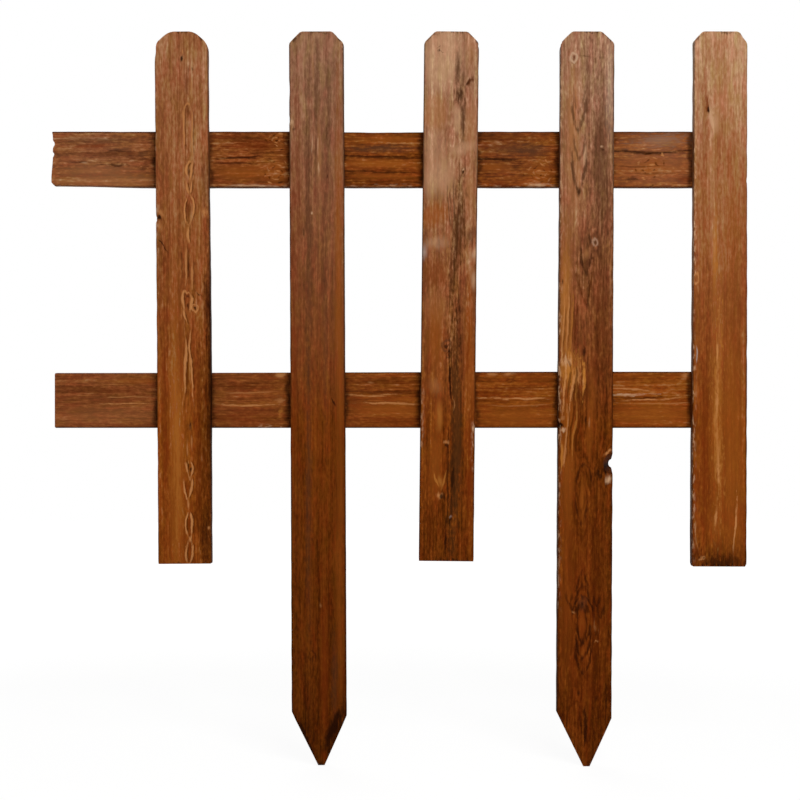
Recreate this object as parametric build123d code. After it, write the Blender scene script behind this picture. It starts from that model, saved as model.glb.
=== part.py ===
"""Garden fence panel in stained softwood: five pickets nailed over two rails.

Two of the pickets are longer and pointed: they are the stakes that are driven into the ground. The rails run
on past the left picket, so that they meet the rails of the next panel behind that panel's last picket.

Millimetres. X runs along the fence, to the right as seen from the front. Y runs from the front to the back.
Z is up. The origin is the centre of the left stake's blunt tip.
"""

import os
from dataclasses import dataclass
from math import radians, tan

from build123d import *

# Planed strip, with its long edges eased by the planer
PICKET_WIDTH = 56.0
PICKET_THICKNESS = 15.0
RAIL_WIDTH = 58.0
RAIL_THICKNESS = 15.0
ARRIS_RADIUS = 1.5

# Lengths, from the head line down
SHORT_LENGTH = 542.0
STAKE_LENGTH = 750.0
UPPER_RAIL_DROP = 129.0
LOWER_RAIL_DROP = 376.0

# Heads: both corners clipped, then lightly sanded
EAR_WIDTH = 12.0
EAR_HEIGHT = 12.0
EAR_EASE = 2.0

# Points of the stakes: two saw cuts, in degrees off the board, that stop short of a knife edge
POINT_LEFT_ANGLE = 26.3
POINT_RIGHT_ANGLE = 24.4
TIP_WIDTH = 6.5

# Picket spacing along the upper rail, and the gap left where the rails of two panels meet
PITCH = 137.0
RAIL_MEETING_GAP = 4.0

# Edge knot that has fallen out: a cone, narrower towards the back, with its axis just outside the board
LOST_KNOT_FRONT_RADIUS = 11.5
LOST_KNOT_BACK_RADIUS = 4.5
LOST_KNOT_OUTSIDE = 1.5


@dataclass
class Picket:
    """One upright, as it was sawn and nailed. A tip offset makes it a pointed stake."""

    name: str
    lean: float  # degrees out of plumb, positive with the foot to the right
    shift: float = 0.0  # nailed to the right of its even place
    over_length: float = 0.0  # sawn longer than the nominal length
    ear_width: float = EAR_WIDTH
    ear_height: float = EAR_HEIGHT
    ear_ease: float = EAR_EASE
    tip_offset: float | None = None  # of a stake's tip, to the right of the middle
    lost_knot: float | None = None  # height above the foot of a knot that has left the right edge

    @property
    def is_stake(self):
        return self.tip_offset is not None

    @property
    def length(self):
        return (STAKE_LENGTH if self.is_stake else SHORT_LENGTH) + self.over_length


@dataclass
class Rail:
    """One horizontal, level behind the pickets."""

    name: str
    drop: float  # of its middle, below the head line
    over_length: float = 0.0  # sawn longer at its free end


PICKETS = [
    Picket("left_picket", lean=0.4, shift=-0.5, over_length=1.4, ear_width=15.5, ear_height=13.0, ear_ease=5.0),
    Picket("left_stake", lean=0.24, over_length=-1.2, tip_offset=2.2),
    Picket("middle_picket", lean=-0.6, shift=-0.5, over_length=-1.3),
    Picket("right_stake", lean=-0.25, shift=1.5, ear_width=13.0, tip_offset=2.4, lost_knot=309.0),
    Picket("right_picket", lean=-0.18, shift=1.0, over_length=4.2, ear_width=10.0, ear_height=9.0),
]
RAILS = [
    Rail("upper_rail", drop=UPPER_RAIL_DROP, over_length=3.5),
    Rail("lower_rail", drop=LOWER_RAIL_DROP),
]


def planed_strip(width, thickness, length):
    """A length of planed strip with eased edges, standing on end."""
    return extrude(RectangleRounded(width, thickness, ARRIS_RADIUS), length)


def foot_points(picket):
    """Outline of the foot, from left to right: sawn square, or cut to a point."""
    half = PICKET_WIDTH / 2
    if not picket.is_stake:
        return [(-half, 0), (half, 0)]
    tip_left = picket.tip_offset - TIP_WIDTH / 2
    tip_right = picket.tip_offset + TIP_WIDTH / 2
    left_shoulder = (tip_left + half) / tan(radians(POINT_LEFT_ANGLE))
    right_shoulder = (half - tip_right) / tan(radians(POINT_RIGHT_ANGLE))
    return [(-half, left_shoulder), (tip_left, 0), (tip_right, 0), (half, right_shoulder)]


def picket_outline(picket):
    """Front outline of a picket, with its foot at zero and both corners of its head clipped."""
    half = PICKET_WIDTH / 2
    flat = half - picket.ear_width
    shoulder = picket.length - picket.ear_height
    head = [(half, shoulder), (flat, picket.length), (-flat, picket.length), (-half, shoulder)]
    outline = Polygon(*foot_points(picket), *head, align=None)
    ear_corners = outline.vertices().sort_by(Axis.Y)[-len(head):]
    return fillet(ear_corners, picket.ear_ease)


def lost_knot(height):
    """The plug that has fallen out of the right edge, as deep as the board."""
    cone = Cone(LOST_KNOT_BACK_RADIUS, LOST_KNOT_FRONT_RADIUS, PICKET_THICKNESS)
    return Pos(PICKET_WIDTH / 2 + LOST_KNOT_OUTSIDE, 0, height) * Rot(90, 0, 0) * cone


def picket_solid(picket):
    """Planed strip sawn to the picket's outline, standing with its foot at the origin."""
    strip = planed_strip(PICKET_WIDTH, PICKET_THICKNESS, picket.length)
    sawn = strip & extrude(Plane.XZ * picket_outline(picket), PICKET_THICKNESS, both=True)
    if picket.lost_knot is None:
        return sawn
    return sawn - lost_knot(picket.lost_knot)


def picket_place(place):
    """Where a picket stands, below the head line, turned about its crossing with the upper rail."""
    picket = PICKETS[place]
    crossing = Pos(place * PITCH + picket.shift, 0, -UPPER_RAIL_DROP)
    foot_below_crossing = UPPER_RAIL_DROP - picket.length
    return crossing * Rot(0, -picket.lean, 0) * Pos(0, 0, foot_below_crossing)


def rail_solid(rail):
    """A rail laid against the backs of the pickets. It stops behind the last picket, at its even place."""
    overhang = PITCH - RAIL_MEETING_GAP + rail.over_length
    length = overhang + (len(PICKETS) - 1) * PITCH
    behind = (PICKET_THICKNESS + RAIL_THICKNESS) / 2
    lying = Rot(0, 90, 0) * planed_strip(RAIL_WIDTH, RAIL_THICKNESS, length)
    return Pos(-overhang, behind, -rail.drop) * lying


def frame_shift():
    """Takes the first stake's tip to the origin."""
    place = next(i for i, picket in enumerate(PICKETS) if picket.is_stake)
    tip = (picket_place(place) * Pos(PICKETS[place].tip_offset, 0, 0)).position
    return Pos(-tip)


def panel():
    """Every board of the panel by name, in its place."""
    shift = frame_shift()
    boards = {}
    for place, picket in enumerate(PICKETS):
        boards[picket.name] = shift * picket_place(place) * picket_solid(picket)
    for rail in RAILS:
        boards[rail.name] = shift * rail_solid(rail)
    return boards


os.makedirs("parts", exist_ok=True)
for name, board in panel().items():
    export_step(board, f"parts/{name}.step")
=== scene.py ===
"""Dresses a garden fence panel: its boards are sawn, worn and stained, and nails hold the rails.

Boards are described in millimetres on the board itself: across its face from the middle, and along it from
the head. A picket's across runs to the right and its along runs down. A rail is a board that lies with its
head to the left, so its across runs up and its along runs to the right.
"""

from dataclasses import dataclass, field
from math import asin, atan2, cos, degrees, hypot, pi, radians, sin, sqrt, tan

import bmesh
import bpy
from bpy.props import FloatProperty, FloatVectorProperty, PointerProperty
from mathutils import Matrix, Vector, noise


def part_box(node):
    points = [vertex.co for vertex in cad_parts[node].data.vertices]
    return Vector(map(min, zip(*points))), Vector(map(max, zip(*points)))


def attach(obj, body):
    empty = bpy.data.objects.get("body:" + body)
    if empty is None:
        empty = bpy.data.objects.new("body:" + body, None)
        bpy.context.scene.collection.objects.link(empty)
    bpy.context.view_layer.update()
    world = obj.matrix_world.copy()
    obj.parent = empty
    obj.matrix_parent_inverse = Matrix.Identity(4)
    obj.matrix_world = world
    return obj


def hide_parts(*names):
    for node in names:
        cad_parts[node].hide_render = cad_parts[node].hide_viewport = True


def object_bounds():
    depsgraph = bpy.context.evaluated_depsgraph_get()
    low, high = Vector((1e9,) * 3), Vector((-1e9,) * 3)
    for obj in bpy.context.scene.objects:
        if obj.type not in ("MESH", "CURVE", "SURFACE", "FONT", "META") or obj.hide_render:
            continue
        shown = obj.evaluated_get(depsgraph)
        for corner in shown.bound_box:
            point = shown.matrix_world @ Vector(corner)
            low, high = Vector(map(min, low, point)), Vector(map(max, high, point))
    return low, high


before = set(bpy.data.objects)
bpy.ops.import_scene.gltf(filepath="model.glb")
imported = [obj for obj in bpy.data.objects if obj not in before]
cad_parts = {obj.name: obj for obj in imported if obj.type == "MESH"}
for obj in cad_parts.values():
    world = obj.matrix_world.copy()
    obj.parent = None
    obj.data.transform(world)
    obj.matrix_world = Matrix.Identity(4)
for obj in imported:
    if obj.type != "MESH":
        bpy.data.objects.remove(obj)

CAD_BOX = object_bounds()
BODY = "root"
MM = 0.001

# Wear of the boards, in millimetres
RUB_REACH = 4.0  # in from both faces of a rubbed arris
RUB_DEPTH = 0.7
CHIP_REACH = 8.0  # in from the edge that a chip is taken out of
CHIP_THROUGH = 12.0  # into the board, for a chip that doesn't go right through
WAVE_DEPTH = 0.22  # of the waves that the planer left
SAW_DEPTH = 2.0  # of the roughest places on a saw cut
BITE_REACH = 7.0  # down the board from a bitten head
PIT_REACH = (13.0, 20.0)  # across and along, of the wood round a fallen knot, which no saw has touched
EAR_SLICE = 1.2  # spacing of the extra cuts that shape a head
SHARP = radians(40)  # edges that turn by more than this stay sharp

# Nails and the dimples that they are driven into, in millimetres
NAIL_THICKNESS = 1.0
NAIL_TAPER = 0.35
NAIL_SUNK = 0.35
NAIL_RIM = 0.15
DIMPLE_DEPTH = 1.1
DIMPLE_SHARE = 0.9  # of the nail head's diameter that its dimple reaches out

# Patterns in the stain: millimetres across and along the grain, and detail. Pores and fibres are drawn
# coarser than they are, so that they show in the picture.
PATTERNS = {
    "pore": (2.3, 6, 4),
    "fibre": (1.8, 30, 4),
    "streak": (5, 190, 4),
    "blotch": (13, 45, 4),
    "hue": (7, 30, 4),
    "fleck": (2.2, 7, 2),
}
TONE_SHARES = {"pore": 0.75, "fibre": 0.60, "streak": 0.70, "blotch": 0.45}  # what each adds to the tone
WANDER = ((16, 75, 5.0), (5, 12, 2.4))  # of the grain: millimetres across and along, and how far it sways
PATH_REACH = 30.0  # millimetres to either side that a mark can be bent
SHEEN_START = 40.0  # millimetres along, where the painted sheen on the head begins to fade
SHEEN_END = 400.0

# Slivers of torn grain around a branch, each turned on from the last so that no two line up
SLIVERS = 18
GOLDEN_ANGLE = 137.5

bl_info = {
    "name": "Garden fence panel",
    "version": (1, 0, 0),
    "blender": (4, 5, 0),
    "location": "3D View > Sidebar > Fence",
    "description": "Saws, wears and stains the boards of a garden fence panel, and sets up a stage for it",
    "category": "Object",
}


def linear(hex_colour):
    """An sRGB hex colour as linear red, green and blue."""
    channels = [int(hex_colour[i:i + 2], 16) / 255 for i in (1, 3, 5)]
    return [c / 12.92 if c <= 0.04045 else ((c + 0.055) / 1.055) ** 2.4 for c in channels]


def colour(name, hex_colour, description):
    """A colour that can be picked in the sidebar."""
    return FloatVectorProperty(name=name, description=description, default=linear(hex_colour), size=3,
                               min=0, max=1, subtype="COLOR")


def length(name, millimetres, description):
    """A length that can be set in the sidebar."""
    return FloatProperty(name=name, description=description, default=millimetres * MM, precision=4,
                         unit="LENGTH")


def slope(name, from_upright, description):
    """The slope of a saw cut, in degrees, that can be set in the sidebar."""
    return FloatProperty(name=name, description=description, default=radians(from_upright), min=radians(10),
                         max=radians(60), unit="ROTATION")


def power(name, watts, description):
    """The power of a lamp, that can be set in the sidebar."""
    return FloatProperty(name=name, description=description, default=watts, min=0, unit="POWER")


# What the boards carry


@dataclass
class Mark:
    """A stain, streak, crack or line on a board, or a patch of painted shade: an ellipse, filled or drawn
    as an outline.
    """

    across: float
    along: float
    half_width: float
    half_length: float
    colour: str
    strength: float = 0.6
    turn: float = 0.0  # degrees, positive with its lower end to the right
    line: float = 0.0  # share of the half width that an outline takes, or none for a filled mark
    height: float = 0.0  # millimetres that it stands proud
    fray: float = 0.35  # how much the fibres break up its edge
    solid: float = 0.0  # share of its radius that it covers fully
    path: tuple = ()  # points, across and along, that its long axis is bent through
    on_front: bool = False  # whether it stays on the front, or else goes through the board


@dataclass
class Swell:
    """A swelling in the log. Rings bend around it, and draw an oval, or arches towards it."""

    across: float
    along: float
    half_width: float
    half_length: float
    rise: float


@dataclass
class Chip:
    """A bite out of an edge. Side is -1 for the left or lower edge and 1 for the other."""

    side: int
    along: float
    half_length: float
    depth: float
    through: bool = False  # as deep at the back as at the front


@dataclass
class Worn:
    """A stretch of edge where the stain has rubbed off in flecks."""

    side: int
    start: float
    end: float
    strength: float


@dataclass
class Board:
    """One board: its place, its cut, and what its wood shows."""

    node: str
    lean: float  # degrees out of plumb, positive with the foot to the right
    tones: tuple  # how light the stain is at the head, the middle and the foot, from 0 to 1; down a picket the fall from head to foot is partly painted light
    pith: tuple  # of the log, across and behind the front face, at the head
    pith_tilt: tuple = (0.0, 0.0)  # degrees that the pith leans across and behind, down the board
    ring: float = 3.0  # spacing of the growth rings
    ring_contrast: float = 0.1
    figure: float = 1.0  # strength of the fibres, streaks and blotches
    painted_sheen: float = 0.0  # how strongly a painted sheen greys and lightens the head
    ear_width: float = 12.0
    ear_height: float = 12.0
    ear_ease: float = 2.0
    tip_offset: float | None = None
    lost_knot: float | None = None  # its height above the foot
    bites: list = field(default_factory=list)  # out of the head end: across, half width, depth
    swells: list = field(default_factory=list)
    marks: list = field(default_factory=list)
    chips: list = field(default_factory=list)
    worn: list = field(default_factory=list)

    @property
    def is_rail(self):
        return self.lean > 45

    def number(self, count):
        """A number below count that comes from the board's name, so that no two boards look alike."""
        return sum(map(ord, self.node)) % count


def knot(across, along, radius, halo, halo_strength, stretch=1.3):
    """Marks for the eye of a branch and the raised ring around it."""
    ring = radius * 1.6
    return [
        Mark(across, along, ring, ring * stretch, halo, halo_strength, line=0.35, height=0.3, fray=0.8),
        Mark(across, along, radius, radius * stretch, "char", 0.85, height=-0.3, fray=0.5, solid=0.3),
    ]


def torn(across, along, reach):
    """Marks for the torn grain around a branch: short light and dark slivers that lie around it."""
    marks = [Mark(across, along, reach * 1.2, reach * 1.2, "amber", 0.5, fray=0.8)]
    for step in range(SLIVERS):
        bearing = GOLDEN_ANGLE * step
        out = reach * (0.2 + 0.06 * step)
        sliver_across = across + out * cos(radians(bearing))
        sliver_along = along + out * sin(radians(bearing))
        shade = ("tan", "char", "pale", "deep")[step % 4]
        turn = (90 - bearing) % 180 - 90
        marks.append(Mark(sliver_across, sliver_along, 1.3, 3.4, shade, 0.75, turn, height=0.2, fray=0.9))
    return marks


def around(across, along, radius, rise=3.0):
    """The swelling that a branch leaves in the rings."""
    return Swell(across, along, radius * 2.6, radius * 6.5, rise)


def stroke(points, half_width, shade, strength, **more):
    """A mark bent through points down the board, with a firm middle."""
    start, stop = points[0][1], points[-1][1]
    more = {"solid": 0.4, "path": tuple(points)} | more
    return Mark(0, (start + stop) / 2, half_width, (stop - start) * 0.58, shade, strength, **more)


def crack(points, half_width, strength, **more):
    """A dark line through points down the board."""
    return stroke(points, half_width, "char", strength, **more)


def thread(points, half_width, strength, shade="tan", **more):
    """A thin light line of grain with a ragged edge."""
    more = {"fray": 0.9, "solid": 0.2} | more
    return stroke(points, half_width, shade, strength, **more)


def ridge(points, half_width, strength, shade="tan"):
    """A raised line of grain, with painted shade in a dark line to the right of it."""
    painted_shade_line = [(across + 1.4, along) for across, along in points]
    return [
        stroke(painted_shade_line, half_width * 1.2, "deep", 0.8 * strength),
        stroke(points, half_width * 1.25, shade, strength, height=0.5, fray=0.55),
    ]


def vee(across, along, half_width, rise, shade, strength, half_line=1.4):
    """Two grain lines that meet in a blunt point. They run up from it, or down where rise is negative."""
    marks = [Mark(across, along - 0.1 * rise, 0.35 * half_width, 0.16 * abs(rise), shade, strength)]
    for side in (-half_width, half_width):
        points = [(across, along), (across + 0.7 * side, along - 0.4 * rise), (across + side, along - rise)]
        points.sort(key=lambda point: point[1])
        marks.append(stroke(points, half_line * 1.4, shade, strength, fray=0.4, solid=0.2))
    return marks


LEFT_PICKET = Board(
    "left_picket", lean=0.4, tones=(0.68, 0.59, 0.52), pith=(60.0, 40.0), pith_tilt=(0.4, 0.6), ring=2.6,
    ring_contrast=0.04, figure=0.7, painted_sheen=0.33, ear_width=15.5, ear_height=13.0, ear_ease=5.0,
    swells=[around(7, 142, 3), around(5, 272, 5), around(12, 281, 3), around(6, 443, 3)],
    marks=[
        Mark(-7.5, 430, 10, 200, "amber", 0.75, fray=0.6),
        Mark(-19, 400, 6, 220, "russet", 0.45),
        Mark(15, 430, 6, 170, "russet", 0.4),
        Mark(-7, 440, 6, 130, "gold", 0.35, fray=1.0),
        Mark(18, 440, 10, 170, "deep", 0.45),
        Mark(26, 420, 13, 200, "deep", 0.75),
        Mark(29, 340, 8, 230, "char", 0.7),
        Mark(25, 275, 8, 44, "char", 0.5),
        Mark(22, 520, 12, 48, "char", 0.6),
        Mark(24, 150, 8, 40, "umber", 0.4),
        Mark(-24, 240, 7, 90, "char", 0.25),
        Mark(6, 50, 3.5, 26, "umber", 0.35),
        *ridge([(7, 74), (3.8, 78), (2.2, 92), (1.6, 112), (2.2, 128)], 1.2, 0.70),
        *ridge([(7, 74), (10.6, 79), (10.2, 100), (11, 128)], 1.1, 0.60),
        Mark(7, 75.5, 3.6, 2.2, "tan", 0.7, height=0.4),
        Mark(7, 83, 2.4, 9, "deep", 0.45),
        Mark(8, 40, 1.4, 14, "deep", 0.4),
        Mark(3.4, 52, 1.6, 20, "deep", 0.35),
        Mark(11.4, 56, 1.4, 18, "tan", 0.35),
        *ridge([(9, 131), (5, 138), (4.8, 145), (7.6, 151)], 1.4, 0.90),
        *ridge([(11, 129), (10, 135), (9.4, 142), (8, 151)], 1.4, 0.90),
        Mark(7.2, 143, 1.6, 3.6, "char", 0.6),
        Mark(-7, 135, 1.2, 7, "pale", 0.5, turn=78, fray=0.9),
        *ridge([(4.6, 152), (5.6, 160), (7, 169)], 1.2, 0.80),
        *ridge([(9.8, 150), (9, 160), (7.4, 168)], 1.2, 0.80),
        Mark(7.2, 184, 3.2, 14, "deep", 0.45),
        *ridge([(6.6, 167), (4.2, 173), (2.8, 186), (4.6, 196), (6.8, 200)], 1.2, 0.90),
        *ridge([(7.6, 167), (11.2, 175), (10.6, 189), (7.4, 200)], 1.2, 0.85),
        *ridge([(7.2, 198), (5, 209), (6.4, 219)], 1.5, 0.90),
        *ridge([(2.6, 221), (3.6, 240), (2.2, 259)], 1.2, 0.70),
        *ridge([(9.6, 232), (9.2, 250), (7.6, 263)], 1.2, 0.65),
        crack([(-1.5, 222), (-0.6, 236), (-1.2, 252)], 1.0, 0.4),
        crack([(6.4, 222), (6.2, 240), (5.6, 258)], 1.2, 0.5),
        *ridge([(3.6, 263), (0.6, 267), (0.0, 276), (1.8, 286)], 1.4, 0.90),
        *ridge([(3.8, 263), (7.2, 267), (7.8, 276), (6.2, 286)], 1.4, 0.90),
        Mark(3.8, 264.5, 3.4, 2.2, "tan", 0.8, height=0.4),
        Mark(4.4, 269, 2.0, 3.2, "char", 0.85, height=-0.3),
        Mark(4.6, 279, 2.2, 4.2, "char", 0.85, height=-0.3),
        *knot(11.5, 281, 2.0, halo="tan", halo_strength=0.8, stretch=1.15),
        *ridge([(0.6, 284), (1.4, 291), (4.4, 297)], 1.2, 0.85),
        Mark(15.5, 267, 0.9, 8.5, "char", 0.8, turn=40),
        Mark(4.6, 350, 3.0, 40, "deep", 0.4),
        *ridge([(0.1, 301), (1.8, 313), (2.7, 325), (1.3, 343), (1.5, 358), (1.4, 369), (-1.2, 384)], 1.2,
               0.85),
        *ridge([(8.1, 301), (6.3, 313), (5.5, 325), (8.1, 343), (8.6, 358), (10.4, 381)], 1.2, 0.85),
        stroke([(5.2, 326), (6, 340), (5.4, 356)], 0.8, "tan", 0.5),
        Mark(6.9, 402, 3.4, 5, "umber", 0.7, fray=0.6),
        Mark(6.6, 400, 1.2, 2.2, "char", 0.7),
        Mark(3, 424, 1.6, 14, "tan", 0.6, fray=0.6),
        Mark(8, 420, 1.4, 12, "tan", 0.6, fray=0.6),
        *ridge([(0.9, 436), (2.8, 445), (5, 453)], 1.2, 0.85),
        *ridge([(5.2, 437), (8.7, 446), (6.2, 455)], 1.2, 0.85),
        Mark(7.4, 447, 1.3, 2.6, "char", 0.85, solid=0.3),
        Mark(4.4, 443, 1.1, 2.6, "char", 0.7, solid=0.3),
        Mark(3.8, 465, 3, 10, "russet", 0.5),
        *ridge([(-0.1, 455), (0.8, 467), (4.1, 477)], 1.2, 0.85),
        *ridge([(8.2, 454), (7.3, 467), (4.1, 477)], 1.2, 0.85),
        Mark(4.3, 480, 1.8, 8, "tan", 0.8, height=0.5),
        Mark(4.3, 503, 2.8, 12, "russet", 0.6),
        *ridge([(4.6, 486), (0.9, 498), (1.1, 509), (4.3, 519)], 1.2, 0.95),
        *ridge([(4.8, 486), (7.4, 498), (7.0, 509), (4.4, 519)], 1.2, 0.95),
        Mark(4.3, 518, 2.0, 4, "tan", 0.8, height=0.5),
        *ridge([(2.6, 521), (0.5, 531), (3.4, 542)], 1.2, 0.80),
        *ridge([(6.6, 521), (7.2, 531), (3.8, 542)], 1.2, 0.80),
        Mark(0.1, 27, 1.7, 3.4, "char", 0.9, height=-0.4, solid=0.3),
        Mark(0.6, 20, 1.1, 4.0, "tan", 0.7),
        Mark(11.9, 35, 1.3, 2.4, "char", 0.65),
        Mark(-22, 185, 4, 5, "tan", 0.6, fray=0.8),
        Mark(-23, 198, 3, 4, "tan", 0.5, fray=0.8),
        Mark(-24.4, 191, 3.0, 3.0, "char", 0.95, height=-0.6, solid=0.4),
        crack([(-26, 207), (-21, 215), (-15.5, 223)], 0.9, 0.75),
        Mark(23.4, 184, 4.0, 5.0, "tan", 0.75, fray=0.9),
        Mark(23.8, 185, 1.4, 1.8, "body", 0.7),
        Mark(25.6, 507, 2.6, 3.6, "tan", 0.75),
    ],
    chips=[
        Chip(-1, 191, 4, 1.6), Chip(-1, 19, 10, 1.2, True), Chip(1, 507, 4, 0.8),
        Chip(-1, 330, 800, 0.9, True), Chip(1, 60, 260, 1.0, True), Chip(1, 540, 200, 0.8, True),
    ],
    worn=[Worn(-1, 15, 130, 0.35), Worn(-1, 150, 240, 0.6)],
)

LEFT_STAKE = Board(
    "left_stake", lean=0.24, tones=(0.65, 0.42, 0.255), pith=(-120.0, 60.0), pith_tilt=(0.1, 0.2),
    ring=3.2, ring_contrast=0.04, figure=0.62, painted_sheen=0.75, tip_offset=2.2,
    marks=[
        Mark(0, 60, 6, 100, "umber", 0.6),
        Mark(-9, 200, 6, 240, "umber", 0.6),
        Mark(13, 90, 4, 110, "umber", 0.5),
        Mark(8, 280, 5, 170, "umber", 0.4),
        Mark(-20, 140, 7, 170, "russet", 0.35),
        Mark(-24.5, 320, 4.5, 260, "russet", 0.4),
        Mark(22, 240, 6, 290, "amber", 0.6),
        Mark(2, 118, 3, 60, "pale", 0.4),
        Mark(-4, 30, 2.0, 40, "pale", 0.25),
        Mark(1, 115, 1.3, 14, "bare", 0.6),
        Mark(1.4, 140, 1.1, 11, "bare", 0.6),
        Mark(-5, 112, 1.1, 12, "bare", 0.45),
        Mark(10.6, 101, 1.8, 9, "umber", 0.7),
        Mark(21, 560, 6, 200, "amber", 0.3),
        Mark(-10, 470, 5, 200, "umber", 0.4),
        Mark(6, 650, 6, 100, "russet", 0.6),
        Mark(-11, 690, 9, 90, "char", 0.4),
        Mark(16, 660, 5, 70, "umber", 0.4),
        Mark(-26, 91, 3.0, 5.0, "bare", 0.85, fray=0.8),
        Mark(-23.0, 97, 1.8, 3.0, "char", 0.5),
        Mark(-5.2, 186, 1.4, 2.2, "bare", 0.75),
        Mark(-5.4, 193, 1.2, 4, "char", 0.4),
        Mark(-14.5, 203, 1.4, 8, "umber", 0.7),
        Mark(11.5, 150, 1.3, 4, "char", 0.6),
        crack([(13.4, 372), (15.4, 378), (17.8, 385)], 1.1, 0.8),
        Mark(-6.1, 520, 1.8, 6, "char", 0.5),
        Mark(-7.4, 638, 3.0, 3.6, "char", 0.5, line=0.6, fray=0.8),
        Mark(2, 587, 3.0, 2, "pale", 0.4, fray=0.9, turn=60),
        # Dark bands along the point's right cut are partly scorch and partly painted shade, for a bevelled
        # facet turned from the light that the flat cut lacks; the band along the left cut is a scorched
        # outline
        Mark(19, 716, 7, 36, "char", 0.7, turn=-26, solid=0.3),
        crack([(26, 684), (15, 708), (3, 735)], 7.0, 0.9, fray=0.3, solid=0.3),
        Mark(-14.5, 720, 3.0, 36, "char", 0.85, turn=25, solid=0.3),
        Mark(14, 731, 2.0, 26, "char", 0.8, turn=-24.4, solid=0.3),
        Mark(5, 737, 4, 9, "russet", 0.8),
        Mark(2, 748, 6, 3, "char", 0.8),
    ],
    chips=[Chip(-1, 90, 4, 1.0), Chip(1, 6, 4, 1.4, True), Chip(-1, 60, 14, 0.5, True)],
    worn=[Worn(1, 3, 22, 0.8)],
)

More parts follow.
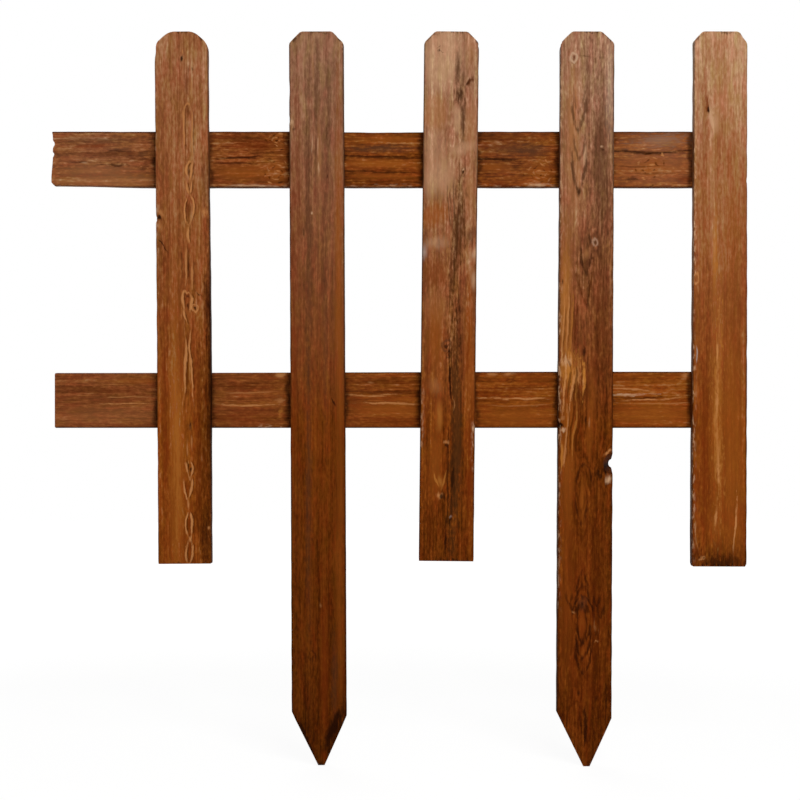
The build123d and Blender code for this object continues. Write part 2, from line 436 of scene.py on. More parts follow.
MIDDLE_PICKET = Board(
    "middle_picket", lean=-0.6, tones=(0.75, 0.56, 0.36), pith=(9.0, 16.0), pith_tilt=(-0.5, 0.4),
    ring=3.4, ring_contrast=0.05, figure=0.9, painted_sheen=0.72, ear_width=11.5, ear_height=11.5,
    swells=[around(19, 52, 4), around(13, 142, 3), around(-2, 320, 3), around(-7, 476, 4),
            around(3, 498, 4)],
    marks=[
        # Soft pale patches over the head are painted sheen
        Mark(-10, 28, 28, 44, "bare", 0.4, fray=0.2, solid=0.4),
        Mark(-16, 84, 17, 24, "pale", 0.5, fray=0.2, solid=0.5),
        Mark(-16, 118, 15, 22, "bare", 0.25, fray=0.2, solid=0.3),
        Mark(20, 20, 8, 40, "pale", 0.4, fray=0.2),
        Mark(20, 100, 10, 50, "pale", 0.4, fray=0.2),
        Mark(6.5, 88, 5, 18, "bare", 0.4, fray=0.2, solid=0.4),
        Mark(14, 119, 17, 8, "bare", 0.3, fray=0.9, solid=0.3),
        Mark(-12, 150, 20, 26, "bare", 0.38, fray=0.4, solid=0.3),
        Mark(20, 160, 9, 34, "pale", 0.4, fray=0.2),
        Mark(-17, 188, 18, 17, "amber", 0.55, turn=-20, fray=0.3, solid=0.4),
        Mark(-14, 216, 17, 9, "bare", 0.3, fray=0.5, solid=0.2),
        Mark(-26, 224, 6, 10, "bloom", 0.75, fray=0.2),
        Mark(-14, 245, 18, 18, "body", 0.4, fray=0.25, solid=0.4),
        Mark(-14, 280, 16, 22, "pale", 0.3, fray=0.2, solid=0.3),
        Mark(21, 207, 8, 12, "umber", 0.6, fray=0.3),
        Mark(26, 226, 6, 10, "bare", 0.75, fray=0.3),
        Mark(25, 252, 5, 14, "bare", 0.5, fray=0.3),
        stroke([(7.5, 16), (6.8, 40), (5.6, 66)], 3.8, "umber", 0.85, solid=0.1),
        stroke([(12, 30), (11, 50), (9, 68)], 2.4, "umber", 0.5, solid=0.1),
        Mark(8.6, 66, 6.6, 12, "umber", 0.9, fray=0.7),
        Mark(9.6, 66, 3.0, 5.5, "char", 0.4, fray=0.9),
        stroke([(11.8, 68), (12.4, 90), (12, 116)], 3.4, "umber", 0.85, solid=0.2),
        stroke([(8, 128), (10, 160), (10, 203), (7, 232), (4, 262), (4.4, 300)], 8.0, "olive", 0.65,
               solid=0.1, fray=0.6),
        crack([(9, 145), (9, 190), (6.6, 222), (3, 262)], 2.4, 0.35),
        crack([(5, 176), (5, 200), (2, 232), (0.4, 268)], 1.6, 0.35),
        stroke([(12.5, 170), (12.5, 196), (10, 226)], 1.6, "olive", 0.5),
        stroke([(-3.5, 158), (-1.8, 178), (1.6, 196)], 1.0, "umber", 0.6),
        stroke([(-0.5, 154), (1, 176), (4, 198)], 1.0, "umber", 0.6),
        stroke([(2.4, 150), (4, 172), (7, 194)], 1.1, "umber", 0.6),
        Mark(1.5, 194, 1.6, 5, "char", 0.5),
        stroke([(6, 250), (5, 300), (7, 350), (9, 400), (7, 470), (5, 560)], 8.5, "olive", 0.8,
               solid=0.25, fray=0.5),
        crack([(8, 260), (10, 300), (9, 350)], 3.0, 0.4, fray=0.5),
        Mark(5, 460, 4, 110, "char", 0.35, fray=0.6),
        crack([(0.3, 384), (0.0, 420), (0.6, 470), (1.2, 540)], 1.3, 0.55),
        Mark(22, 340, 8, 90, "amber", 0.6),
        Mark(23, 450, 6, 110, "russet", 0.7),
        Mark(21, 290, 6, 60, "rust", 0.7),
        Mark(20, 330, 3, 50, "russet", 0.6),
        Mark(-13, 310, 13, 60, "amber", 0.6),
        Mark(-14, 364, 12, 12, "tan", 0.3, fray=0.5),
        Mark(-9, 392, 5, 22, "gold", 0.5),
        Mark(-12, 440, 10, 50, "amber", 0.5),
        Mark(-18, 512, 13, 44, "deep", 0.75),
        Mark(-20, 370, 6, 40, "russet", 0.35),
        Mark(-12, 19, 2.6, 2.4, "char", 0.65, fray=0.9),
        Mark(-9.0, 20.5, 0.8, 5.0, "umber", 0.6, turn=70),
        Mark(-13, 15, 0.8, 3.4, "umber", 0.6, turn=-55),
        Mark(18.5, 53, 3.6, 8.0, "deep", 0.85, turn=-62, height=-0.3, solid=0.2),
        Mark(16.5, 54, 2.0, 4.0, "char", 0.6, turn=-62),
        *knot(13.2, 143, 1.8, halo="umber", halo_strength=0.5),
        Mark(13.0, 140, 1.6, 1.8, "bare", 0.7),
        *knot(-1.8, 319, 2.6, halo="umber", halo_strength=0.6),
        Mark(0.6, 330, 2.2, 4.0, "char", 0.6, line=0.5),
        crack([(1.8, 300), (1.0, 322), (1.2, 340)], 1.0, 0.5),
        crack([(0.8, 338), (1.8, 350), (2.2, 366), (4.4, 384)], 2.0, 0.95, height=-0.5),
        stroke([(4.6, 372), (6.6, 379), (5.0, 386)], 0.9, "tan", 0.35),
        Mark(-1.6, 420, 3.4, 3.0, "tan", 0.6, fray=0.8),
        Mark(-1.0, 424, 2.2, 2.8, "char", 0.85, height=-0.3),
        crack([(5, 440), (5.6, 452), (4, 468)], 1.6, 0.6),
        stroke([(-14, 448), (-11, 460), (-7, 468)], 1.6, "gold", 0.6),
        stroke([(-1, 448), (-3, 458), (-6, 468)], 1.4, "gold", 0.5),
        Mark(-7, 460, 5, 8, "gold", 0.5, fray=0.4),
        Mark(-8.4, 474, 4.6, 4.6, "tan", 0.85, fray=0.7),
        Mark(-6.0, 475, 2.2, 3.6, "char", 0.85, height=-0.4, solid=0.3),
        Mark(-2.6, 476, 2.6, 6.0, "char", 0.7),
        Mark(3.4, 498, 5.4, 6.4, "char", 0.8, height=-0.2),
        Mark(4.2, 495, 2.6, 2.8, "bloom", 0.5, fray=0.7),
        crack([(-1.2, 505), (-0.8, 522), (-1.2, 540)], 1.5, 0.85, height=-0.4),
        Mark(26.5, 404, 2.2, 5.0, "bare", 0.85),
    ],
    chips=[Chip(1, 40, 4, 0.6), Chip(-1, 150, 12, 0.5), Chip(1, 14, 2.5, 0.8, True)],
    worn=[Worn(-1, 360, 430, 0.4), Worn(1, 395, 450, 0.5)],
)

RIGHT_STAKE = Board(
    "right_stake", lean=-0.25, tones=(0.77, 0.40, 0.28), pith=(-3.0, 30.0), pith_tilt=(0.05, 0.9),
    ring=2.8, ring_contrast=0.1, figure=0.9, painted_sheen=0.78, ear_width=13.0, tip_offset=2.4, lost_knot=309.0,
    swells=[
        around(-13.7, 26, 3), around(7.5, 214, 3, 4), Swell(-7, 60, 16, 130, 8),
        Swell(-2, 240, 12, 50, 4), Swell(-3, 474, 13, 62, 7), Swell(-2.5, 608, 12, 70, 10),
        Swell(26, 442, 20, 34, 8), around(-7, 675, 3), Swell(-20, 345, 9, 50, 4),
    ],
    marks=[
        Mark(15, 130, 16, 150, "umber", 0.65),
        Mark(-15, 110, 14, 130, "tan", 0.3),
        Mark(-1, 240, 9, 40, "olive", 0.5),
        Mark(0, 50, 6, 60, "umber", 0.3),
        Mark(15, 300, 15, 130, "deep", 0.45),
        Mark(17, 540, 15, 150, "deep", 0.45),
        Mark(-21, 280, 10, 110, "gold", 0.55),
        Mark(-18, 420, 11, 120, "amber", 0.65),
        Mark(-18, 560, 8, 120, "rust", 0.5, fray=0.7),
        Mark(5, 385, 7, 70, "amber", 0.35),
        Mark(-1.5, 127, 2.8, 17, "bare", 0.7),
        Mark(-14, 90, 7, 70, "pale", 0.4),
        Mark(24, 60, 7, 70, "bloom", 0.25),
        Mark(-13.6, 27, 4.4, 5.2, "umber", 0.5, fray=0.8),
        Mark(-13.6, 27, 3.0, 3.8, "grey_bare", 0.6, line=0.6, height=0.3, fray=0.6),
        Mark(-13.2, 26.6, 1.2, 1.6, "deep", 0.8),
        Mark(-2.5, 27, 0.9, 8, "umber", 0.6, turn=88),
        Mark(13, 27, 4.6, 3.0, "umber", 0.5, fray=0.8),
        *vee(-8.4, 84, 6, 30, "umber", 0.45),
        *vee(-8.6, 104, 7, 40, "umber", 0.75, 1.8),
        *vee(-7.5, 134, 6, 30, "umber", 0.6, 1.6),
        *vee(-7.6, 166, 8, 46, "umber", 0.85, 2.0),
        Mark(-7.6, 162, 2.0, 5, "char", 0.6),
        Mark(-8.6, 100, 2.0, 5, "char", 0.4),
        Mark(-7, 148, 2.4, 14, "tan", 0.35),
        Mark(8.2, 214.6, 4.6, 6.0, "umber", 0.8, fray=0.6),
        Mark(8.2, 214.6, 2.6, 3.2, "grey_pale", 0.8, line=0.6, height=0.3, fray=0.6),
        Mark(8.2, 214.6, 1.2, 1.6, "umber", 0.7),
        Mark(3.0, 213, 1.8, 8, "char", 0.65),
        Mark(-0.8, 228, 3.6, 9, "pale", 0.6),
        *vee(-0.9, 252, 5, 32, "char", 0.65, 1.3),
        *vee(-1.5, 280, 8, 46, "deep", 0.6),
        Mark(2, 270, 2.4, 20, "char", 0.5),
        *ridge([(-17.6, 250), (-18.2, 290), (-20, 330)], 1.0, 0.6),
        *ridge([(-22, 270), (-22.6, 305), (-25, 332)], 0.9, 0.55),
        *ridge([(-13.6, 262), (-14.2, 296), (-16.4, 328)], 1.0, 0.5, "gold"),
        stroke([(-10, 270), (-10.6, 300), (-12, 330)], 1.4, "deep", 0.6),
        Mark(-24.6, 256, 1.4, 6, "char", 0.7),
        Mark(-16, 346, 13, 26, "gold", 0.85, fray=0.7, solid=0.2),
        Mark(-20, 338, 5, 8, "bare", 0.55, fray=1.0),
        Mark(-9, 350, 4, 14, "tan", 0.7, fray=0.9),
        stroke([(-20, 332), (-16, 344), (-17, 360), (-20, 380)], 1.3, "deep", 0.7, fray=0.7),
        stroke([(-13.4, 330), (-10, 344), (-11.4, 362), (-15, 380)], 1.3, "deep", 0.7, fray=0.7),
        stroke([(-23, 338), (-20, 348), (-21, 364), (-23, 392)], 1.6, "tan", 0.8, fray=0.7),
        stroke([(-15, 338), (-13, 350), (-14.4, 368), (-17, 390)], 1.6, "tan", 0.8, fray=0.7),
        stroke([(-5.4, 334), (-2.6, 346), (-3.6, 372)], 2.4, "gold", 0.95, fray=0.7, height=0.4),
        Mark(-3.4, 360, 1.6, 6, "tan", 0.7, fray=0.8),
        Mark(-2.6, 327, 2.8, 7, "char", 0.85),
        Mark(0.6, 340, 2.0, 14, "char", 0.5),
        stroke([(-14, 366), (-12, 388), (-15, 410), (-16, 442)], 1.3, "deep", 0.75),
        stroke([(-8, 366), (-6, 390), (-9, 415), (-10, 444)], 1.2, "deep", 0.7),
        *ridge([(-20, 376), (-18, 396), (-20, 420), (-22, 450)], 1.1, 0.6),
        *ridge([(-11.4, 372), (-9.4, 392), (-12.4, 414), (-13.4, 444)], 1.1, 0.5, "gold"),
        stroke([(-2, 372), (0, 395), (-1, 422)], 1.2, "deep", 0.6),
        Mark(-0.8, 397, 1.8, 5, "char", 0.7),
        Mark(3.6, 400, 1.6, 8, "pale", 0.7),
        Mark(-22.4, 407, 4, 3.6, "bare", 0.8, fray=0.6),
        Mark(-23, 394, 3, 3, "pale", 0.6, fray=0.6),
        Mark(-25.2, 401.6, 3.6, 4.0, "char", 0.98, height=-0.8, solid=0.5),
        stroke([(-25, 414), (-23, 430), (-24.5, 450)], 1.3, "gold", 0.7),
        Mark(19, 442, 11, 14, "deep", 0.85, solid=0.2, fray=0.5),
        Mark(23.4, 428.0, 2.4, 8, "tan", 0.9, turn=-56, fray=0.5),
        Mark(23.5, 458, 4.6, 7, "bare", 0.85, fray=0.5),
        Mark(14, 451, 8.0, 8.0, "char", 0.7, fray=0.9),
        Mark(14, 447, 4, 3, "char", 0.6, turn=-30),
        Mark(23.4, 443, 5.6, 10, "char", 1.0, turn=-14, fray=0.3, solid=0.5),
        *vee(-1, 437, 8, -30, "char", 0.6, 1.3),
        *vee(-1, 448, 6, -26, "deep", 0.7, 1.3),
        Mark(-2.6, 480, 4.6, 34, "amber", 0.7, fray=0.6),
        *vee(-4.2, 507, 6, 32, "char", 0.65, 1.3),
        *vee(-4.2, 494, 4, 26, "deep", 0.6),
        *vee(-4, 522, 8, 44, "deep", 0.55),
        Mark(0, 610, 30, 170, "russet", 0.35),
        *vee(-3, 549, 6, -28, "char", 0.6, 1.4),
        *vee(-2.6, 562, 8, -30, "char", 0.6, 1.4),
        *vee(-2.6, 574, 11, -26, "char", 0.7, 1.5),
        Mark(-2.5, 583, 6, 10, "umber", 0.7),
        *vee(-2.6, 580, 6, -20, "char", 0.6),
        Mark(-3.6, 604, 4.2, 17, "rust", 0.7, fray=0.5),
        Mark(-3.6, 604, 4.6, 19, "char", 0.5, line=0.3, fray=0.5),
        Mark(-3.4, 610, 1.8, 9, "russet", 0.6),
        *vee(-2.6, 626, 7, 24, "char", 0.7, 1.4),
        *vee(-2.2, 642, 8, 32, "char", 0.75, 1.5),
        *vee(-1.6, 658, 9, 40, "char", 0.7, 1.4),
        Mark(-2.2, 633, 3, 6, "amber", 0.4),
        *vee(-12, 598, 3, 14, "char", 0.6),
        *vee(12, 590, 3, 14, "char", 0.6),
        *vee(16, 600, 3, 14, "char", 0.5),
        *vee(-16, 586, 3, 14, "char", 0.5),
        Mark(-12.4, 594, 1.6, 3.4, "tan", 0.5, turn=35, fray=0.7),
        Mark(10.4, 609, 4.0, 7.0, "tan", 0.25, fray=1.2),
        Mark(12.0, 616, 2.4, 4.4, "char", 0.6),
        Mark(11.4, 622.5, 2.4, 1.7, "tan", 0.6, fray=0.7),
        Mark(25, 595, 4, 16, "russet", 0.7),
        Mark(-6.4, 674.8, 2.8, 4.4, "char", 0.75),
        crack([(0.2, 688), (1.2, 708), (0.2, 730)], 3.0, 0.8),
        crack([(-5, 680), (-4, 704), (-1, 724)], 1.4, 0.5),
        stroke([(6, 676), (6, 700), (3.4, 726)], 1.4, "russet", 0.6),
        Mark(17.0, 119, 1.5, 2.0, "char", 0.6),
        Mark(16.0, 115.5, 1.8, 1.8, "bare", 0.6),
    ],
    chips=[
        Chip(-1, 401, 4.5, 2.0), Chip(-1, 275, 10, 0.8), Chip(-1, 470, 20, 0.7), Chip(-1, 560, 16, 0.7),
        Chip(-1, 13, 3, 0.8, True), Chip(-1, 60, 330, 0.8, True),
    ],
    worn=[Worn(-1, 30, 230, 0.5), Worn(-1, 230, 430, 0.5), Worn(-1, 430, 600, 0.3),
          Worn(1, 120, 330, 0.2)],
)

RIGHT_PICKET = Board(
    "right_picket", lean=-0.18, tones=(0.87, 0.585, 0.49), pith=(90.0, 70.0), pith_tilt=(0.1, 0.3),
    ring=3.2, ring_contrast=0.03, figure=0.58, painted_sheen=0.36, ear_width=10.0, ear_height=9.0,
    swells=[around(-12, 80, 3), around(-16, 537, 3)],
    marks=[
        Mark(-15, 430, 11, 170, "russet", 0.5),
        Mark(-17, 90, 10, 90, "russet", 0.25),
        Mark(13, 420, 16, 190, "amber", 0.55),
        Mark(12, 200, 14, 120, "amber", 0.25),
        Mark(-5.5, 225, 3.6, 70, "gold", 0.55),
        Mark(-3, 60, 4, 60, "pale", 0.3),
        stroke([(-1, 270), (-2, 350), (-2.4, 400), (-1.5, 450), (-3.6, 520)], 7.0, "gold", 0.65, fray=1.0,
               solid=0.0),
        stroke([(-1, 290), (-2, 350), (-2.4, 400), (-1.5, 450), (-3.6, 505)], 2.0, "tan", 0.35, fray=1.2,
               solid=0.0),
        Mark(-2, 325, 2.0, 14, "tan", 0.6, fray=1.0),
        Mark(-2.4, 376, 2.0, 12, "tan", 0.6, fray=1.0),
        Mark(-1.8, 447, 2.0, 14, "tan", 0.6, fray=1.0),
        Mark(-3.6, 493, 2.0, 12, "tan", 0.6, fray=1.0),
        Mark(10, 60, 12, 60, "pale", 0.25, fray=0.2),
        Mark(-8, 130, 6, 20, "pale", 0.3, fray=0.4),
        stroke([(-14.8, 62), (-13.8, 74), (-11.8, 87)], 1.6, "russet", 0.75),
        crack([(-13.4, 76), (-12.6, 80), (-11.8, 84)], 1.1, 0.9, height=-0.5),
        stroke([(-10.4, 77), (-9, 90), (-6, 106)], 2.6, "bare", 0.65, height=0.5, fray=0.7),
        Mark(-5, 96, 4.4, 14, "bare", 0.4, fray=0.7),
        stroke([(17.6, 478), (17, 500), (15.2, 522), (14.8, 542)], 1.3, "tan", 0.85, fray=0.8),
        Mark(2, 546, 46, 34, "char", 0.6, fray=0.3),
        Mark(2, 543, 32, 11, "char", 0.6, fray=0.6),
        Mark(-22, 536, 6, 20, "char", 0.35),
        Mark(-15.6, 538.6, 3.4, 3.4, "tan", 0.8, height=0.3, fray=1.0),
        Mark(-19, 540, 3.4, 1.6, "tan", 0.6, turn=20, fray=0.9),
        Mark(-15.2, 538.6, 1.6, 2.0, "char", 0.85),
        Mark(-24.8, 252, 2.4, 4.4, "tan", 0.8, line=0.5, fray=0.9),
        Mark(-25.5, 230, 3.6, 9, "russet", 0.7),
        stroke([(-25.6, 318), (-23.6, 328), (-25, 338)], 1.2, "bloom", 0.8),
        stroke([(-25.4, 500), (-24.4, 516), (-21, 532)], 1.1, "pale", 0.6),
    ],
    chips=[
        Chip(-1, 251, 3, 0.8), Chip(-1, 330, 8, 0.8), Chip(1, 152, 3, 0.5), Chip(-1, 520, 12, 0.9),
        Chip(1, 546, 2.5, 1.2, True), Chip(1, 5, 9, 3.2, True), Chip(-1, 546, 3, 1.0, True),
        Chip(-1, 110, 420, 1.2, True), Chip(1, 60, 260, 0.7, True),
    ],
    worn=[Worn(-1, 10, 300, 0.9), Worn(-1, 300, 545, 0.6)],
)

UPPER_RAIL = Board(
    "upper_rail", lean=90.0, tones=(0.57, 0.50, 0.55), pith=(4.0, 30.0), pith_tilt=(0.1, 0.25), ring=2.8,
    ring_contrast=0.06, figure=1.1, painted_sheen=0.2,
    bites=[(6.0, 26.0, 1.6), (16.0, 5.0, 2.2), (5.0, 3.0, 1.4), (24.0, 9.0, 1.0), (-29.0, 5.0, 2.0)],
    swells=[around(-6, 66, 4), around(-12, 232, 5, 5), around(20, 235, 4), around(-12, 501, 5, 5),
            around(9, 492, 4)],
    marks=[
        Mark(0, 50, 60, 90, "grey_pale", 0.14, fray=0.1),
        Mark(21, 50, 6, 80, "umber", 0.5),
        Mark(15, 40, 3, 36, "russet", 0.6),
        Mark(6, 62, 5, 80, "deep", 0.55),
        Mark(0, 90, 4, 60, "deep", 0.4),
        Mark(-22, 60, 9, 100, "pale", 0.4),
        Mark(-12, 44, 6, 60, "pale", 0.35),
        crack([(8, 52), (9.4, 62), (8.6, 72)], 1.6, 0.45),
        crack([(-2, 20), (-3.2, 30), (-2.4, 42)], 1.6, 0.5),
        crack([(-4, 54), (-6, 66), (-5, 82)], 2.4, 0.6, fray=0.9),
        Mark(-4.5, 36, 1.8, 4, "bare", 0.4),
        Mark(5, 93, 5, 9, "umber", 0.5, fray=0.8),
        Mark(-8, 96, 6, 8, "char", 0.35, fray=1.0),
        Mark(22, 200, 9, 50, "deep", 0.55),
        Mark(14, 205, 6, 44, "russet", 0.5),
        Mark(-14, 195, 12, 44, "amber", 0.6),
        crack([(0.8, 166), (2.4, 190), (4.6, 214), (6.4, 222)], 1.7, 0.75, height=-0.4),
        crack([(-4, 166), (-3, 192), (-4.6, 216)], 1.4, 0.5),
        *torn(-14, 231, 13),
        *torn(21, 234, 9),
        Mark(0, 224, 4, 5, "char", 0.5, fray=1.0),
        Mark(-27.5, 205, 1.6, 36, "bare", 0.6),
        Mark(20, 345, 6, 60, "amber", 0.5),
        Mark(11.5, 342, 6, 64, "umber", 0.8),
        crack([(5, 270), (3.4, 320), (2.6, 360), (3.4, 410)], 2.8, 0.75, solid=0.1),
        Mark(-4, 340, 7, 64, "amber", 0.7),
        crack([(-12, 276), (-13, 330), (-14.6, 400)], 1.8, 0.55, solid=0.1),
        Mark(-18, 340, 4, 64, "amber", 0.5),
        Mark(-24, 340, 5, 60, "deep", 0.6),
        Mark(-28, 345, 1.4, 40, "pale", 0.6),
        Mark(6, 470, 60, 80, "grey_deep", 0.3, fray=0.1),
        Mark(22, 460, 8, 60, "deep", 0.5),
        Mark(14, 446, 5, 44, "russet", 0.5),
        Mark(9, 494, 10, 26, "umber", 0.75),
        Mark(12, 470, 9, 40, "umber", 0.5),
        crack([(1.2, 410), (0.4, 448), (-0.6, 470), (-3.4, 492)], 2.6, 0.85, solid=0.1, height=-0.5),
        *torn(-14, 500, 14),
        Mark(-6, 478, 5, 14, "char", 0.35, fray=0.7),
        Mark(-14, 445, 1.3, 26, "char", 0.45),
        Mark(-8, 450, 5, 26, "amber", 0.5),
        Mark(-26, 500, 3.0, 16, "bare", 0.7, fray=0.9),
        Mark(0, 620, 60, 80, "grey_pale", 0.24, fray=0.1),
        Mark(22, 615, 8, 54, "umber", 0.5),
        Mark(16, 630, 9, 40, "umber", 0.4),
        Mark(20, 630, 9, 40, "grey_pale", 0.4, fray=0.9),
        crack([(10, 556), (8.8, 590), (6.8, 618), (8, 640), (10, 680)], 2.6, 0.85, solid=0.1,
              height=-0.5),
        Mark(-8, 615, 16, 64, "amber", 0.4),
        *torn(-8, 618, 15),
        crack([(-6, 576), (-7.4, 600), (-6, 628)], 1.2, 0.4),
        crack([(-14, 590), (-15, 615), (-13, 650)], 1.2, 0.35),
        Mark(-20, 597, 4, 8, "char", 0.55, fray=0.9),
        Mark(-20, 655, 4, 14, "russet", 0.5),
    ],
    chips=[Chip(-1, 0, 115, 2.0, True), Chip(-1, 420, 900, 0.7, True), Chip(1, 340, 90, 0.9, True)],
    worn=[Worn(-1, 150, 540, 0.4)],
)

LOWER_RAIL = Board(
    "lower_rail", lean=90.0, tones=(0.53, 0.50, 0.55), pith=(-70.0, 40.0), pith_tilt=(0.1, 0.1), ring=2.4,
    ring_contrast=0.04, figure=0.75, painted_sheen=0.2,
    swells=[around(26, 236, 3), around(26, 460, 4), Swell(8, 600, 6, 60, 2.5)],
    marks=[
        Mark(10, 50, 6, 64, "deep", 0.45),
        Mark(20, 90, 4, 56, "amber", 0.45),
        Mark(-16, 60, 14, 100, "pale", 0.2, fray=0.2),
        thread([(-4.4, 44), (-3.6, 74), (-4.6, 106)], 1.2, 0.75),
        Mark(4, 90, 3.5, 44, "deep", 0.4),
        thread([(2, 40), (2.6, 70), (1.6, 104)], 0.9, 0.45),
        Mark(14, 195, 5, 54, "deep", 0.55),
        thread([(8, 166), (7.4, 200), (8.4, 236)], 1.0, 0.4),
        Mark(2, 195, 3, 54, "deep", 0.4),
        thread([(-3, 160), (-4.4, 190), (-3.4, 232)], 1.4, 0.75),
        Mark(-18, 190, 10, 64, "russet", 0.35),
        Mark(25, 233, 4.5, 7, "tan", 0.7, fray=0.8),
        Mark(0, 231, 4, 7, "tan", 0.5, fray=0.9),
        Mark(-13, 235, 8, 3, "gold", 0.5, fray=0.9),
        Mark(18, 335, 8, 64, "deep", 0.5),
        Mark(17, 326, 2.0, 5, "pale", 0.5),
        Mark(9, 340, 3, 64, "char", 0.35),
        thread([(5.9, 290), (5.2, 320), (5.6, 350)], 1.4, 0.7),
        thread([(-3.4, 300), (-2.6, 340), (-4.4, 382)], 1.6, 0.8),
        Mark(1, 360, 3, 28, "amber", 0.6),
        Mark(-10, 345, 10, 64, "amber", 0.6),
        Mark(-22, 340, 7, 64, "russet", 0.4),
        Mark(26, 446, 4, 7, "tan", 0.6, fray=0.8),
        Mark(26, 465, 4, 9, "tan", 0.75, fray=0.8),
        Mark(21, 468, 7, 6, "char", 0.5, fray=0.8),
        Mark(10, 462, 6, 30, "russet", 0.6, fray=0.6),
        Mark(12, 480, 3, 44, "char", 0.35),
        thread([(1.0, 432), (1.8, 470), (1.0, 514)], 1.5, 0.8),
        thread([(-5, 440), (-5.8, 470), (-5, 506)], 1.0, 0.4),
        Mark(-18, 475, 14, 64, "amber", 0.5),
        thread([(11, 566), (11.4, 590), (9.4, 616)], 1.3, 0.7, height=0.3, fray=1.0),
        thread([(5, 566), (5.4, 592), (7, 614)], 1.5, 0.7, "bare", height=0.3, fray=1.0),
        Mark(8.2, 615, 2.4, 5, "tan", 0.6, fray=1.0),
        Mark(12.4, 612, 2.0, 6, "char", 0.4, fray=0.9),
        thread([(-0.3, 574), (0.4, 604), (3.9, 650)], 1.2, 0.8),
        thread([(-3, 580), (-3.4, 610), (-2, 650)], 1.0, 0.5),
        crack([(2.6, 574), (2.4, 596), (4.6, 630)], 1.1, 0.5),
        Mark(25, 648, 6, 6, "tan", 0.65, fray=0.8),
        Mark(-14, 615, 15, 64, "amber", 0.6),
    ],
    chips=[Chip(1, 0, 560, 1.3, True)],
    worn=[Worn(-1, 200, 240, 0.5)],
)

PICKETS = [LEFT_PICKET, LEFT_STAKE, MIDDLE_PICKET, RIGHT_STAKE, RIGHT_PICKET]
RAILS = [UPPER_RAIL, LOWER_RAIL]


# What a user may change


class FenceShape(bpy.types.PropertyGroup):
    """Sizes of the boards' cuts and of the nails."""

    picket_width: length("Picket width", 56, "Width of the strip that the pickets are sawn from")
    arris: length("Arris", 1.5, "Rounding that the planer left on the long edges")
    cut_ease: length("Cut ease", 0.5, "Rounding that sanding left on the sawn ends")
    point_left_angle: slope("Point left angle", 26.3, "Slope of the left saw cut at a point")
    point_right_angle: slope("Point right angle", 24.4, "Slope of the right saw cut at a point")
    tip_width: length("Tip width", 6.5, "Blunt end left between the two cuts of a point")
    lost_knot_front: length("Lost knot front", 11.5, "Radius of the fallen knot's pit at the front face")
    lost_knot_back: length("Lost knot back", 4.5, "Radius of the fallen knot's pit at the back face")
    lost_knot_outside: length("Lost knot outside", 1.5, "How far the pit's axis lies outside the edge")
    slice_along: length("Slice along", 2.5, "Spacing of the cuts across the grain that carry the relief")
    slice_across: length("Slice across", 1.4, "Spacing of the cuts along the grain that carry the relief")
    nail_head: length("Nail head", 6.4, "Diameter of a nail's flat head")
    nail_across: length("Nail across", 10, "How far each nail sits beside the middle of its crossing")
    nail_up: length("Nail up", 13, "How far each nail sits above or below the middle of its crossing")


class FenceStain(bpy.types.PropertyGroup):
    """Colours of the stained wood, from the darkest to the barest, and its gloss."""

    char: colour("Char", "#220c03", "Scorched wood in cracks, knots and along the edges")
    deep: colour("Deep", "#4f2203", "Wood that took most stain")
    olive: colour("Olive", "#4a2a10", "Dark heartwood")
    umber: colour("Umber", "#53331f", "Grey brown streaks")
    russet: colour("Russet", "#6f2a08", "Red brown streaks")
    rust: colour("Rust", "#8a4312", "Bright red brown streaks")
    body: colour("Body", "#7d3c0f", "Most of the stained wood")
    amber: colour("Amber", "#954f18", "Orange brown streaks")
    gold: colour("Gold", "#b87430", "Golden streaks")
    pale: colour("Pale", "#a87042", "Wood that took little stain")
    tan: colour("Tan", "#c0804a", "Raised grain")
    bare: colour("Bare", "#cda27c", "Grain and edges rubbed nearly bare")
    # The grey colours paint the sheen that greys and lightens the heads, and colour some marks too
    grey_deep: colour("Grey deep", "#4f392c", "Darkest wood of the heads that the sun has bleached")
    grey_body: colour("Grey body", "#7c5944", "Most of the wood of the bleached heads")
    grey_pale: colour("Grey pale", "#a88066", "Pale wood of the bleached heads")
    grey_bare: colour("Grey bare", "#d0ac8c", "Palest wood of the bleached heads")
    bloom: colour("Bloom", "#a89488", "Greyish bloom on the surface")
    roughness: FloatProperty(name="Roughness", description="Of the matt stain", default=0.55, min=0, max=1)
    specular: FloatProperty(name="Specular", description="Of the matt stain", default=0.01, min=0, max=1)


class FenceStage(bpy.types.PropertyGroup):
    """The camera, the floor and the light."""

    camera_distance: length("Camera distance", 2000, "From the camera to the pickets' faces")
    camera_across: length("Camera across", 80.2, "Where the camera stands along the fence")
    camera_height: length("Camera height", 372.6, "Height of the level camera over the left stake's tip")
    view_width: length("View width", 816.3, "Width of the picture at the pickets' faces")
    floor: colour("Floor", "#f4f3f1", "Pale studio floor")
    floor_size: length("Floor size", 8000, "Side of the square floor")
    key_power: power("Key power", 37, "Of the soft box above the camera")
    fill_power: power("Fill power", 3.6, "Of the soft box at the left")
    back_power: power("Back power", 21, "Of the soft box behind")
    ambient: FloatProperty(name="Ambient", description="Light from the walls", default=0.115, min=0)


# Shaping the boards


def place_of(board, shape):
    """Where a board's head lies, in metres, with its size in millimetres: length, width and thickness."""
    low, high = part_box(board.node)
    size = (high - low) / MM
    middle = (low + high) / 2
    if board.is_rail:
        return Vector((low.x, middle.y, middle.z)), size.x, size.z, size.y
    lean = radians(board.lean)
    width = shape.picket_width / MM
    shoulder = board.ear_height * sin(lean)
    if board.lean > 0:
        head_x = low.x / MM + width / 2 * cos(lean) - shoulder
    else:
        head_x = high.x / MM - width / 2 * cos(lean) - shoulder
    rise = (width / 2 - board.ear_width) * sin(abs(lean))
    foot_corner = 0 if board.tip_offset is not None else width / 2
    drop = foot_corner * sin(abs(lean))
    head_z = high.z / MM - rise
    board_length = (head_z - low.z / MM - drop) / cos(lean)
    return Vector((head_x * MM, middle.y, head_z * MM)), board_length, width, size.y


